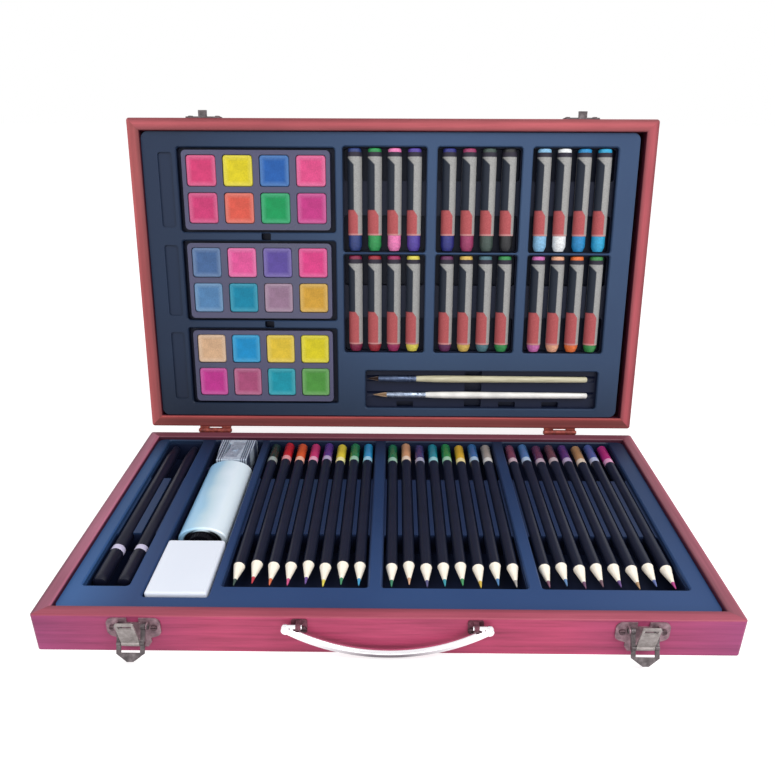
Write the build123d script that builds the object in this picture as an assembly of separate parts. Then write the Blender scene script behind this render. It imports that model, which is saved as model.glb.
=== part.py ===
from build123d import *
import math
import os

# Art supply case: a shallow wooden base and lid on two hinges, each holding a moulded tray of art supplies.
# Millimetres, +X to the right, +Y to the back, +Z up. Everything is drawn with the front face at y = 0 and
# saved about the centre of the underside. The lid is drawn like the base, with its cavity up and its hinge
# edge at y = 0, then turned over onto the base and opened.

# Case
WIDTH = 370.0
DEPTH = 221.0
HALF_HEIGHT = 23.0
RAIL = 8.2
CORNER_RADIUS = 2.0
RIM_ROUND = 1.0
PANEL = 3.0
PANEL_TONGUE = 4.0
PANEL_PLAY = 0.1
RIM_GAP = 0.4
OPEN_ANGLE = 100.0

# Moulded trays, and the room between the rails that they fill
SHEET = 1.0
TRAY_PLAY = 0.4
TRAY_DROP = 2.5
TRAY_CORNER = 5.0
LID_TRAY_SHORT = 3.0
POCKET_CORNER = 2.0
LEAD_IN = 0.8
REST_GAP = 0.3
FLANGE_Z = HALF_HEIGHT - TRAY_DROP
DEEP_FLOOR = PANEL + SHEET
TRAY_EDGE = RAIL + TRAY_PLAY
ROOM_LEFT = -WIDTH / 2 + TRAY_EDGE
ROOM_RIGHT = WIDTH / 2 - TRAY_EDGE
ROOM_WIDTH = ROOM_RIGHT - ROOM_LEFT
ROOM_BACK = DEPTH - TRAY_EDGE

# Wells and snap bar, shared by the pencils and the pens
WELL_FRONT_Y = TRAY_EDGE + 20.4
WELL_BACK_Y = ROOM_BACK - 0.8
BAR_FRONT_Y = WELL_FRONT_Y + 56.7
BAR_BACK_Y = WELL_BACK_Y - 55.8
WELL_STEP = 0.6
BAR_Z = FLANGE_Z - 2.6
TROUGH_PLAY = 0.3

# Drawing pens, at the left of the base
PEN_PITCH = 14.0
PEN_RADIUS = 3.6
PEN_CAP_RADIUS = 4.2
PEN_CAP_LENGTH = 30.0
PEN_RING_LENGTH = 4.5
PEN_CROWN = 1.2
PEN_TAPER = 18.0
PEN_END_SLIMMING = 0.8
PEN_BARREL_STEP = 0.2
PEN_NIB = 12.0
PEN_NIB_RADIUS = 1.0
PEN_NIB_TAPER = 8.0
PEN_CAP_PLAY = 0.05
PEN_TIP_Y = WELL_FRONT_Y + 8.0
PEN_BACK_PLAY = 4.6
PEN_LENGTH = WELL_BACK_Y - PEN_BACK_PLAY - PEN_TIP_Y
PEN_AXIS_Z = FLANGE_Z - 5.3
PEN_WELL_SIDE = 1.8
PEN_WELL_WIDTH = PEN_PITCH + 2 * (PEN_CAP_RADIUS + PEN_WELL_SIDE)
PEN_WELL_MARGIN = 7.75
PEN_WELL_X = ROOM_LEFT + PEN_WELL_MARGIN + PEN_WELL_WIDTH / 2
PEN_X = (PEN_WELL_X - PEN_PITCH / 2, PEN_WELL_X + PEN_PITCH / 2)

# Eraser, paint tube and sharpener share one column to the right of the pens
COLUMN_WIDTH = 36.0
COLUMN_GAP = 9.65
COLUMN_X = ROOM_LEFT + PEN_WELL_MARGIN + PEN_WELL_WIDTH + COLUMN_GAP + COLUMN_WIDTH / 2
COLUMN_FRONT_Y = TRAY_EDGE + 10.8
COLUMN_FLOOR = FLANGE_Z - 5.0
COLUMN_RIB = 1.8
ERASER_SIDE_PLAY = 1.0
ERASER_END_PLAY = 1.1
ERASER_LENGTH = 52.0
ERASER_HEIGHT = 13.2
ERASER_Y = COLUMN_FRONT_Y + ERASER_END_PLAY
ERASER_ROUND = 1.6
ERASER_FLOOR = FLANGE_Z - 12.0
ERASER_WELL_END = ERASER_Y + ERASER_LENGTH + SHEET
SHARPENER_LENGTH = 33.0
SHARPENER_WIDTHS = (22.0, 27.0)
SHARPENER_HEIGHT = 13.5
SHARPENER_FLOOR = FLANGE_Z - 12.5
SHARPENER_END_PLAY = 0.8
SHARPENER_FRONT_PLAY = 0.4
SHARPENER_Y = WELL_BACK_Y - WELL_STEP - SHARPENER_END_PLAY - SHARPENER_LENGTH
SHARPENER_ROUND = 0.8
SHARPENER_BORE = (4.2, 1.4)
SHARPENER_BORE_LENGTH = 27.0
SHARPENER_BORE_Z = 6.6
SHARPENER_RIBS = 5
SHARPENER_RIB_INSET = 1.2
SHARPENER_RIB_PITCH = 0.85
SHARPENER_RIB_SIZE = (0.4, 1.4)
SHARPENER_RIB_REACH = 0.8
SHAVING_SLOT = (1.6, 9.0, 6.0)
BLADE_SIZE = (9.0, 24.0, 0.6)
BLADE_PLAY = 0.2
BLADE_TURN = -8.0
BLADE_SCREW = (1.2, 2.4, 0.8, 2.2)
TUBE_CAP_RADIUS = 7.8
TUBE_CAP_LENGTH = 4.6
TUBE_CAP_STANDOFF = 0.6
TUBE_CAP_RIBS = 24
TUBE_CAP_RIB_RADIUS = 0.45
TUBE_SHOULDER = (19.5, 16.4, 1.5)
TUBE_NECK_RADIUS = 6.0
TUBE_NECK_LENGTH = 4.2
TUBE_SIDE_PLAY = 2.5
TUBE_FRONT_PLAY = 8.2
TUBE_WIDTH = COLUMN_WIDTH - 2 * TUBE_SIDE_PLAY
TUBE_HEIGHT = 19.0
TUBE_END_ROUND = 1.2
TUBE_FRONT_Y = ERASER_WELL_END + COLUMN_RIB + TUBE_FRONT_PLAY
TUBE_WELL_END = SHARPENER_Y - SHARPENER_FRONT_PLAY - COLUMN_RIB
TUBE_LENGTH = TUBE_WELL_END - SHEET - TUBE_FRONT_Y

# Coloured pencils, in three racks that share the width left beside the column
PENCIL_RADIUS = 3.4
PENCIL_CONE = 18.0
PENCIL_END_ROUND = 0.6
LEAD_RADIUS = 1.2
LEAD_PLAY = 0.05
LEAD_TIP_RADIUS = 0.25
LEAD_INSET = 3.0
PENCILS_PER_SET = 8
PENCIL_SETS = ("left", "middle", "right")
RACK_START = 5.0
RACK_GAP = 7.35
RACK_END = 10.7
RACK_LEFT = COLUMN_X + COLUMN_WIDTH / 2 + RACK_START
RACK_WIDTH = (ROOM_RIGHT - RACK_END - RACK_LEFT + RACK_GAP) / len(PENCIL_SETS) - RACK_GAP
PENCIL_PITCH = (RACK_WIDTH - SHEET) / PENCILS_PER_SET
PENCIL_SET_X = {
    side: RACK_LEFT + RACK_WIDTH / 2 + i * (RACK_WIDTH + RACK_GAP)
    for i, side in enumerate(PENCIL_SETS)
}
PENCIL_TIP_Y = WELL_FRONT_Y + 7.0
PENCIL_BACK_PLAY = 2.1
PENCIL_LENGTH = WELL_BACK_Y - PENCIL_BACK_PLAY - PENCIL_TIP_Y
PENCIL_STAGGER = 1.2
PENCIL_AXIS_Z = FLANGE_Z - 4.1

# Ledge and watercolour palettes, at the left of the lid
LEDGE_MARGIN = 10.8
LEDGE_WIDTH = 10.0
LEDGE_LENGTH = 51.0
LEDGE_DEPTH = 1.3
LEDGE_X = (ROOM_LEFT + LEDGE_MARGIN, ROOM_LEFT + LEDGE_MARGIN + LEDGE_WIDTH)
PALETTE_GAP = 3.2
PALETTE_SHARE = 0.3175
PALETTE_MARGIN = 3.5
PALETTE_WALL = 1.0
PALETTE_HEIGHT = 6.5
PALETTE_CORNER = 3.0
PALETTE_BASE_Z = FLANGE_Z - 6.2
PALETTE_WELL_WIDTH = PALETTE_SHARE * ROOM_WIDTH
PALETTE_X = LEDGE_X[1] + PALETTE_GAP + PALETTE_WELL_WIDTH / 2
PALETTE_WIDTH = PALETTE_WELL_WIDTH - 2 * PALETTE_MARGIN
PALETTE_NAMES = ("lower", "middle", "upper")
PALETTE_FRONT_MARGIN = 9.45
PALETTE_BACK_MARGIN = 10.25
PALETTE_ROW_GAP = 5.8
PALETTE_ROOM = ROOM_BACK - PALETTE_BACK_MARGIN - TRAY_EDGE - PALETTE_FRONT_MARGIN
PALETTE_WELL_LENGTH = (PALETTE_ROOM + PALETTE_ROW_GAP) / len(PALETTE_NAMES) - PALETTE_ROW_GAP
PALETTE_LENGTH = PALETTE_WELL_LENGTH - PALETTE_MARGIN
PALETTE_Y = {
    name: TRAY_EDGE + PALETTE_FRONT_MARGIN + PALETTE_WELL_LENGTH / 2 + i * (PALETTE_WELL_LENGTH + PALETTE_ROW_GAP)
    for i, name in enumerate(PALETTE_NAMES)
}
CAKE_GRID = (4, 2)
CAKE = 21.0
CAKE_HEIGHT = 3.4
CAKE_SINK = 0.4
CAKE_ROUND = 0.6
CAKE_CORNER = 2.2
CAKE_PLAY = 0.25
CAKE_EDGE = (0.5, 1.7)
CAKE_PITCH = (
    (PALETTE_WIDTH - 2 * CAKE_EDGE[0]) / CAKE_GRID[0],
    (PALETTE_LENGTH - 2 * CAKE_EDGE[1]) / CAKE_GRID[1],
)
CAKE_SHIFT_Y = 0.6
NOTCH_SIZE = (7.0, 5.0)
NOTCH_X = PALETTE_X + 5.4
NOTCH_FLOOR = FLANGE_Z - 8.5
NOTCH_CORNER = 1.0

# Paint brushes, lying along x with their bristles to the left
BRUSH_MARGIN = 6.0
BRUSH_SPREAD = 29.2
BRUSH_ROOM_SHARE = 0.53
UPPER_BRUSH = {"y": 22.4, "tip_play": 2.0, "bristles": 8.0, "ferrule": 29.0, "handle": 131.0, "tail_play": 7.3}
LOWER_BRUSH = {"y": 9.8, "tip_play": 5.9, "bristles": 10.5, "ferrule": 30.0, "handle": 124.5, "tail_play": 6.4}
BRUSH_ROOM = ROOM_RIGHT - PALETTE_X - PALETTE_WELL_WIDTH / 2
BRUSH_WELL_LENGTH = max(sum(brush.values()) - brush["y"] for brush in (UPPER_BRUSH, LOWER_BRUSH))
BRUSH_WELL_LEFT = ROOM_RIGHT - BRUSH_ROOM + BRUSH_ROOM_SHARE * (BRUSH_ROOM - BRUSH_WELL_LENGTH)
BRUSH_WELL_X = (BRUSH_WELL_LEFT, BRUSH_WELL_LEFT + BRUSH_WELL_LENGTH)
BRUSH_WELL_Y = (TRAY_EDGE + BRUSH_MARGIN, TRAY_EDGE + BRUSH_MARGIN + BRUSH_SPREAD)
BRUSH_BED_Z = FLANGE_Z - 5.9
BRUSH_AXIS_Z = FLANGE_Z - 4.1
BRUSH_BELLY_RADIUS = 2.7
BRUSH_TAIL_RADIUS = 2.2
BRUSH_TAIL_ROUND = (1.0, 0.6)
FERRULE_RADIUS = 2.3
FERRULE_MOUTH_RADIUS = 2.1
FERRULE_WALL = 0.3
FERRULE_GRIP = 9.0
FERRULE_PLAY = 0.02
FERRULE_NECK = 8.0
FERRULE_GROOVES = (6.5, 4.0)
FERRULE_GROOVE = (0.15, 0.3)
BRUSH_BELLY = 26.0
TUFT_STRANDS = 150
TUFT_POINT = 0.35
TUFT_STEPS = 6
TUFT_INSET = 0.2
STRAND_WIDTH = 0.2
STRAND_TIP = 0.5
STRAND_SIDES = 3
TUFT_BACKING = 1.2
GOLDEN_ANGLE = math.pi * (3 - math.sqrt(5))
BRUSH_NOTCH = (13.0, 4.4)
BRUSH_NOTCH_SHARES = (0.172, 0.618, 0.807)
BRUSH_CROSSING_SHARE = 0.468
BRUSH_NOTCH_FLOOR = FLANGE_Z - 12.5

# Oil pastels, in two rows of three pockets that share the room left beside the palettes
PASTEL_RADIUS = 4.75
PASTEL_TIP_RADIUS = 3.4
PASTEL_TIP_LENGTH = 3.5
PASTEL_END_ROUND = 0.5
PASTELS_PER_SET = 4
PASTEL_SETS = ("left", "middle", "right")
PASTEL_START = 5.2
PASTEL_GAP = 7.2
PASTEL_END = 17.2
PASTEL_SIDE = 1.6
PASTEL_LEFT = PALETTE_X + PALETTE_WELL_WIDTH / 2 + PASTEL_START
PASTEL_WELL_WIDTH = (ROOM_RIGHT - PASTEL_END - PASTEL_LEFT + PASTEL_GAP) / len(PASTEL_SETS) - PASTEL_GAP
PASTEL_PITCH = (PASTEL_WELL_WIDTH - 2 * PASTEL_SIDE) / PASTELS_PER_SET
PASTEL_SET_X = {
    side: PASTEL_LEFT + PASTEL_WELL_WIDTH / 2 + i * (PASTEL_WELL_WIDTH + PASTEL_GAP)
    for i, side in enumerate(PASTEL_SETS)
}
PASTEL_BRUSH_GAP = 13.8
PASTEL_ROW_GAP = 1.4
PASTEL_BACK_MARGIN = 9.4
PASTEL_FRONT = BRUSH_WELL_Y[1] + PASTEL_BRUSH_GAP
PASTEL_WELL_LENGTH = (ROOM_BACK - PASTEL_BACK_MARGIN - PASTEL_FRONT - PASTEL_ROW_GAP) / 2
PASTEL_END_PLAY = 1.0
PASTEL_LENGTH = PASTEL_WELL_LENGTH - 2 * PASTEL_END_PLAY
PASTEL_ROW_Y = {
    "lower": PASTEL_FRONT + PASTEL_END_PLAY,
    "upper": PASTEL_FRONT + PASTEL_WELL_LENGTH + PASTEL_ROW_GAP + PASTEL_END_PLAY,
}
WRAPPER_WALL = 0.35
WRAPPER_START = {"lower": 5.5, "upper": 11.0}
WRAPPER_END = PASTEL_LENGTH - 2.5
WRAPPER_PLAY = 0.02
PASTEL_AXIS_Z = FLANGE_Z - 4.5
PASTEL_BED_Z = FLANGE_Z - 6.5
PASTEL_WELL_FLOOR = FLANGE_Z - 12.5
PASTEL_WELL_ENDS = (26.0, 22.5)

# Hinges
HINGE_INSET = {"left": 49.0, "right": 54.0}
HINGE_X = {"left": -WIDTH / 2 + HINGE_INSET["left"], "right": WIDTH / 2 - HINGE_INSET["right"]}
HINGE_WIDTH = 24.0
HINGE_LEAF = 0.8
HINGE_LEAF_HEIGHT = 14.5
HINGE_MIDDLE_KNUCKLE = 9.0
KNUCKLE_GAP = 0.3
BARREL_RADIUS = 1.9
PIN_RADIUS = 0.8
PIN_PLAY = 0.06
PIN_HEAD_RADIUS = 1.3
PIN_HEAD = 0.6
PIN_OUT = 3.1
STOP_TAIL = 5.0
STOP_TAIL_THICKNESS = 0.8
STOP_GAP = 0.3
HINGE_SCREW_SPREAD = 13.0
HINGE_SCREW_REACH = 8.7
HINGE_ARM = (1.0, 2.2)
PIN_END_PLAY = 0.1

# Screws
SCREW_RADIUS = 0.9
SCREW_LENGTH = 6.0
SCREW_HEAD_RADIUS = 1.7
SCREW_HEAD = 0.8
SCREW_SLOT = (0.5, 0.4)
SCREW_HOLE_PLAY = 0.15
PILOT_PLAY = 0.02
PILOT_EXTRA = 0.4

# Latches
LATCH_INSET = 53.5
LATCH_X = {"left": -WIDTH / 2 + LATCH_INSET, "right": WIDTH / 2 - LATCH_INSET}
LATCH_SHEET = 0.9
LATCH_EAR_HALF_WIDTH = 14.0
LATCH_EAR_Z = (HALF_HEIGHT - 11.8, HALF_HEIGHT - 1.2)
LATCH_EAR_ROUND = 3.5
LATCH_FOOT_HALF_WIDTH = 8.3
LATCH_FOOT_Z = HALF_HEIGHT - 19.5
LATCH_FOOT_CORNER = (2.0, 3.0)
LATCH_SLOT = (6.4, 2.8)
LATCH_SCREW_X = 10.7
LATCH_SCREW_Z = HALF_HEIGHT - 6.9
CHEEK_THICKNESS = 0.8
CHEEK_RADIUS = 1.7
PIVOT_OUT = 3.2
PIVOT_Z = HALF_HEIGHT - 4.6
RIVET_RADIUS = 0.8
RIVET_PLAY = 0.05
RIVET_HEAD = 0.5
RIVET_HEAD_RADIUS = 1.4
LEVER_HALF_WIDTH = 7.2
LEVER_ARM = 2.2
LEVER_THICKNESS = 1.2
LEVER_HUB_RADIUS = 1.6
LEVER_REACH = 17.8
LEVER_WINDOW_END = 13.2
LEVER_NOSE_START = 13.6
LEVER_NOSE_HALF_WIDTH = 1.6
LEVER_PLAY = 0.3
LEVER_REST_ANGLE = 30.0
LINK_PIN_DROP = 8.4
LINK_PIN_RADIUS = 0.65
LINK_PIN_GRIP = 0.02
LINK_ROUND = 1.0
LINK_THICKNESS = 0.9
LINK_HALF_WIDTH = 4.7
LINK_EYE_RADIUS = 1.25
LINK_BAR = 1.6
LINK_WINDOW_HEIGHT = 2.4
LINK_REST_LEAN = 16.0
HOOK_WIDTH = 6.0
HOOK_PLAY = 0.4
HOOK_LIP = 2.1
HOOK_CORNER = 1.8
KEEPER_HALF_WIDTH = 12.6
KEEPER_HEIGHT = 8.6
KEEPER_ROUND = 3.0
KEEPER_SCREW_X = 9.4
KEEPER_SCREW_RISE = 4.7
KEEPER_RIM_OFFSET = 0.5

# Handle
HANDLE_HALF_CHORD = 52.0
HANDLE_SAG = 15.3
HANDLE_RADIUS = 2.3
HANDLE_BALL_RADIUS = 2.9
HANDLE_STUB_RADIUS = 1.15
HANDLE_STUB_END_X = 43.6
HANDLE_STUB_RISE = 1.5
HANDLE_OUT = 4.6
HANDLE_PIVOT_Z = HALF_HEIGHT - 2.6
LUG_X = 45.5
LUG_EAR = 2.6
LUG_EAR_RADIUS = 2.0
LUG_SHEET = 0.9
LUG_PLATE_X = (41.4, 49.6)
LUG_PLATE_Z = (HALF_HEIGHT - 9.2, HALF_HEIGHT - 1.0)
LUG_PLATE_ROUND = 1.2
LUG_WEB = 1.4
LUG_SCREW_X = (43.4, 47.6)
LUG_SCREW_Z = HALF_HEIGHT - 7.0
LUG_PLAY = 0.06

# Places that follow from the sizes above
PIN_Y = DEPTH + PIN_OUT
PIN_Z = HALF_HEIGHT + RIM_GAP / 2
LID_RIM_Z = HALF_HEIGHT + RIM_GAP
HOOK_SHELF_Z = LID_RIM_Z + KEEPER_RIM_OFFSET
LINK_BAR_Z = HOOK_SHELF_Z + LATCH_SHEET + HOOK_PLAY
LINK_LENGTH = LINK_BAR_Z + LINK_BAR - (PIVOT_Z - LINK_PIN_DROP)
PIVOT_Y = -PIVOT_OUT
HANDLE_Y = -HANDLE_OUT

FRONT = -1
BACK = 1
SAVED_AT = Pos(0, -DEPTH / 2, 0)
LID_OVER_BASE = Pos(0, DEPTH, LID_RIM_Z + HALF_HEIGHT) * Rot(180, 0, 0)
LID_SWING = Pos(0, PIN_Y, PIN_Z) * Rot(-OPEN_ANGLE, 0, 0) * Pos(0, -PIN_Y, -PIN_Z)
LID_OPEN = LID_SWING * LID_OVER_BASE


def slab(x0, x1, y0, y1, z0, z1):
    """A box between two places on each axis."""
    return Pos((x0 + x1) / 2, (y0 + y1) / 2, (z0 + z1) / 2) * Box(x1 - x0, y1 - y0, z1 - z0)


def rounded_slab(x0, x1, y0, y1, z0, z1, radius):
    """A box with upright edges rounded."""
    outline = Pos((x0 + x1) / 2, (y0 + y1) / 2, z0) * RectangleRounded(x1 - x0, y1 - y0, radius)
    return extrude(outline, z1 - z0)


def rod(start, end, radius):
    """A round bar between two points."""
    line = Vector(*end) - Vector(*start)
    place = Plane(origin=start, z_dir=line)
    return place * Cylinder(radius, line.length, align=(Align.CENTER, Align.CENTER, Align.MIN))


def turned(*profile):
    """A solid turned about the y axis, from points of radius and distance along y."""
    return revolve(make_face(Polyline(*profile, close=True)), Axis.Y)


def upright_plate(points, y_outer, y_inner):
    """A plate that stands on a face across y, from its outline's x and z points."""
    outline = make_face(Plane.XZ * Polyline(*points, close=True))
    return Pos(0, y_inner, 0) * extrude(outline, y_inner - y_outer)


def save(name, *solids):
    """Writes one sub-part, which may be a group of separate solids."""
    placed = [SAVED_AT * solid for shape in solids for solid in shape.solids()]
    whole = placed[0] if len(placed) == 1 else Compound(placed)
    export_step(whole, f"parts/{name}.step")


def screw(x, seat_y, z, side):
    """A slotted wood screw whose head sits at seat_y, on the front or back face."""
    head = rod((x, seat_y, z), (x, seat_y + side * SCREW_HEAD, z), SCREW_HEAD_RADIUS)
    shank = rod((x, seat_y, z), (x, seat_y - side * SCREW_LENGTH, z), SCREW_RADIUS)
    slot_width, slot_depth = SCREW_SLOT
    slot_y = seat_y + side * SCREW_HEAD
    slot = Pos(x, slot_y, z) * Box(2 * SCREW_HEAD_RADIUS, 2 * slot_depth, slot_width)
    return head + shank - slot


def screw_hole(x, seat_y, z, side, play=SCREW_HOLE_PLAY):
    """The hole that a screw passes through or bites into."""
    start = (x, seat_y + side * SCREW_HEAD, z)
    end = (x, seat_y - side * (SCREW_LENGTH + PILOT_EXTRA), z)
    return rod(start, end, SCREW_RADIUS + play)


def rails():
    """Front, back, left and right rails of one half: mitred, rebated below, with softened edges."""
    half = WIDTH / 2
    ring = rounded_slab(-half, half, 0, DEPTH, 0, HALF_HEIGHT, CORNER_RADIUS)
    ring -= slab(-half + RAIL, half - RAIL, RAIL, DEPTH - RAIL, -1, HALF_HEIGHT + 1)
    ring = fillet(ring.edges().group_by(Axis.Z)[-1], RIM_ROUND)
    reach = RAIL - PANEL_TONGUE
    ring -= slab(-half + reach, half - reach, reach, DEPTH - reach, -1, PANEL)
    corners = {
        "front": [(-half, 0), (half, 0), (half - RAIL, RAIL), (-half + RAIL, RAIL)],
        "back": [(-half, DEPTH), (-half + RAIL, DEPTH - RAIL), (half - RAIL, DEPTH - RAIL), (half, DEPTH)],
        "left": [(-half, 0), (-half + RAIL, RAIL), (-half + RAIL, DEPTH - RAIL), (-half, DEPTH)],
        "right": [(half, 0), (half, DEPTH), (half - RAIL, DEPTH - RAIL), (half - RAIL, RAIL)],
    }
    return {
        side: ring & extrude(make_face(Polyline(*points, close=True)), HALF_HEIGHT)
        for side, points in corners.items()
    }


def panel():
    """The thin board let into the rebate of one half."""
    edge = RAIL - PANEL_TONGUE + PANEL_PLAY
    return slab(-WIDTH / 2 + edge, WIDTH / 2 - edge, edge, DEPTH - edge, 0, PANEL)


def pocket(x0, x1, y0, y1, floor, top=FLANGE_Z, corner=POCKET_CORNER, sheet=SHEET):
    """A straight-sided pocket, as its hollow and as the moulded sheet around it."""
    hollow = rounded_slab(x0, x1, y0, y1, floor, top + 1, corner)
    skin = rounded_slab(x0 - sheet, x1 + sheet, y0 - sheet, y1 + sheet, floor - sheet, top, corner + sheet)
    return hollow, skin


def lead_in(x0, x1, y0, y1, top=FLANGE_Z, corner=POCKET_CORNER):
    """The sloping edge around a pocket's mouth."""
    outline = Pos((x0 + x1) / 2, (y0 + y1) / 2, top - LEAD_IN) * RectangleRounded(x1 - x0, y1 - y0, corner)
    return extrude(outline, LEAD_IN, taper=-45)


def channel(x, y0, y1, axis_z, radius, top):
    """A bar along y with a half-round underside and upright sides."""
    points = [(radius, axis_z), (radius, top), (-radius, top), (-radius, axis_z)]
    if top <= axis_z:
        points = [points[0], points[-1]]
    bottom = ThreePointArc((-radius, axis_z), (0, axis_z - radius), (radius, axis_z))
    outline = make_face(Plane.XZ * (bottom + Polyline(*points)))
    return Pos(x, y1, 0) * extrude(outline, y1 - y0)


def trough(x, y0, y1, axis_z, radius, top):
    """A half-round channel along y, as its hollow and as the moulded sheet around it."""
    hollow = channel(x, y0, y1, axis_z, radius, top + 1)
    skin = channel(x, y0 - SHEET, y1 + SHEET, axis_z, radius + SHEET, top)
    return hollow, skin


def cross_trough(y, x0, x1, axis_z, radius, top):
    """A half-round channel along x."""
    turn = Pos(0, y, 0) * Rot(0, 0, -90)
    return tuple(turn * shape for shape in trough(0, x0, x1, axis_z, radius, top))


def moulded_sheet(outline, skirt_foot, top, pockets, edges):
    """A thin moulding: a flange with a turned-down skirt, and pockets pressed into it."""
    x0, x1, y0, y1, corner = outline
    tray = rounded_slab(x0, x1, y0, y1, skirt_foot, top, corner)
    inner = corner - SHEET
    under = (x0 + SHEET, x1 - SHEET, y0 + SHEET, y1 - SHEET, skirt_foot - 1, top - SHEET, inner)
    tray -= rounded_slab(*under)
    tray = tray.fuse(*[skin for _, skin in pockets])
    cuts = [hollow for hollow, _ in pockets] + edges
    return tray.cut(*cuts) & rounded_slab(x0, x1, y0, y1, skirt_foot, top, corner)


def tray_outline(short=0.0):
    """A tray's place between the rails, as x and y limits and corner radius. Short is what the right edge lacks."""
    return ROOM_LEFT, ROOM_RIGHT - short, TRAY_EDGE, ROOM_BACK, TRAY_CORNER


def spread(count, pitch):
    """Places spaced evenly about zero."""
    return [(i - (count - 1) / 2) * pitch for i in range(count)]


def rack(x, width, ends, bar, levels, troughs):
    """A shallow pocket with a deep well at each end and troughs over the bar between them."""
    x0, x1 = x - width / 2, x + width / 2
    inner_x0, inner_x1 = x0 + WELL_STEP, x1 - WELL_STEP
    front, back = ends
    bar_front, bar_back = bar
    bar_z, floor = levels
    pockets = [
        pocket(x0, x1, front, back, bar_z),
        pocket(inner_x0, inner_x1, front + WELL_STEP, bar_front, floor),
        pocket(inner_x0, inner_x1, bar_back, back - WELL_STEP, floor),
    ]
    places, axis_z, radius = troughs
    for place in places:
        pockets.append(trough(place, bar_front - SHEET, bar_back + SHEET, axis_z, radius + TROUGH_PLAY, bar_z))
    return pockets, [lead_in(x0, x1, front, back)]


def base_tray():
    """The tray in the base: three pencil racks, a pen rack and the column of loose tools."""
    pockets = []
    edges = []
    racks = [(PEN_WELL_X, PEN_WELL_WIDTH, (PEN_X, PEN_AXIS_Z, PEN_CAP_RADIUS))]
    for x in PENCIL_SET_X.values():
        places = [x + step for step in spread(PENCILS_PER_SET, PENCIL_PITCH)]
        racks.append((x, RACK_WIDTH, (places, PENCIL_AXIS_Z, PENCIL_RADIUS)))
    ends, bar, levels = (WELL_FRONT_Y, WELL_BACK_Y), (BAR_FRONT_Y, BAR_BACK_Y), (BAR_Z, DEEP_FLOOR)
    for x, width, troughs in racks:
        added = rack(x, width, ends, bar, levels, troughs)
        pockets += added[0]
        edges += added[1]
    left, right = COLUMN_X - COLUMN_WIDTH / 2, COLUMN_X + COLUMN_WIDTH / 2
    sides = (left + WELL_STEP, right - WELL_STEP)
    pockets += [
        pocket(left, right, COLUMN_FRONT_Y, WELL_BACK_Y, COLUMN_FLOOR),
        pocket(*sides, COLUMN_FRONT_Y + WELL_STEP, ERASER_WELL_END, ERASER_FLOOR),
        pocket(*sides, ERASER_WELL_END + COLUMN_RIB, TUBE_WELL_END, DEEP_FLOOR),
        pocket(*sides, TUBE_WELL_END + COLUMN_RIB, WELL_BACK_Y - WELL_STEP, SHARPENER_FLOOR),
    ]
    edges.append(lead_in(left, right, COLUMN_FRONT_Y, WELL_BACK_Y))
    return moulded_sheet(tray_outline(), PANEL, FLANGE_Z, pockets, edges)


def lid_tray():
    """The tray in the lid: palettes on the left, pastels in three columns, brushes below them."""
    pockets = []
    edges = []
    half_x, half_y = PALETTE_WELL_WIDTH / 2, PALETTE_WELL_LENGTH / 2
    rows = list(PALETTE_Y.values())
    for y in rows:
        around = (PALETTE_X - half_x, PALETTE_X + half_x, y - half_y, y + half_y)
        pockets.append(pocket(*around, PALETTE_BASE_Z - REST_GAP))
        edges.append(lead_in(*around))
        ledge = (*LEDGE_X, y - LEDGE_LENGTH / 2, y + LEDGE_LENGTH / 2)
        pockets.append(pocket(*ledge, FLANGE_Z - LEDGE_DEPTH))
    for low, high in zip(rows, rows[1:]):
        y = (low + high) / 2
        width, length = NOTCH_SIZE
        notch = (NOTCH_X - width / 2, NOTCH_X + width / 2, y - length / 2, y + length / 2)
        pockets.append(pocket(*notch, NOTCH_FLOOR, corner=NOTCH_CORNER))
    levels = (PASTEL_BED_Z, PASTEL_WELL_FLOOR)
    for x in PASTEL_SET_X.values():
        places = [x + step for step in spread(PASTELS_PER_SET, PASTEL_PITCH)]
        troughs = (places, PASTEL_AXIS_Z, PASTEL_RADIUS + WRAPPER_WALL)
        for y in PASTEL_ROW_Y.values():
            low, high = y - PASTEL_END_PLAY, y - PASTEL_END_PLAY + PASTEL_WELL_LENGTH
            bar = (low + PASTEL_WELL_ENDS[0], high - PASTEL_WELL_ENDS[1])
            added = rack(x, PASTEL_WELL_WIDTH, (low, high), bar, levels, troughs)
            pockets += added[0]
            edges += added[1]
    around = (*BRUSH_WELL_X, *BRUSH_WELL_Y)
    pockets.append(pocket(*around, BRUSH_BED_Z))
    edges.append(lead_in(*around))
    for brush in (UPPER_BRUSH, LOWER_BRUSH):
        ends = (BRUSH_WELL_X[0] + SHEET, BRUSH_WELL_X[1] - SHEET)
        radius = BRUSH_BELLY_RADIUS + TROUGH_PLAY
        pockets.append(cross_trough(BRUSH_WELL_Y[0] + brush["y"], *ends, BRUSH_AXIS_Z, radius, BRUSH_BED_Z))
    width, length = BRUSH_NOTCH
    notches = [(share, BRUSH_WELL_Y[0] + length) for share in BRUSH_NOTCH_SHARES]
    notches.append((BRUSH_CROSSING_SHARE, BRUSH_WELL_Y[1] - WELL_STEP))
    for share, back in notches:
        x = BRUSH_WELL_X[0] + share * BRUSH_WELL_LENGTH
        notch = (x - width / 2, x + width / 2, BRUSH_WELL_Y[0], back)
        pockets.append(pocket(*notch, BRUSH_NOTCH_FLOOR, corner=NOTCH_CORNER))
    return moulded_sheet(tray_outline(LID_TRAY_SHORT), PANEL, FLANGE_Z, pockets, edges)


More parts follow.
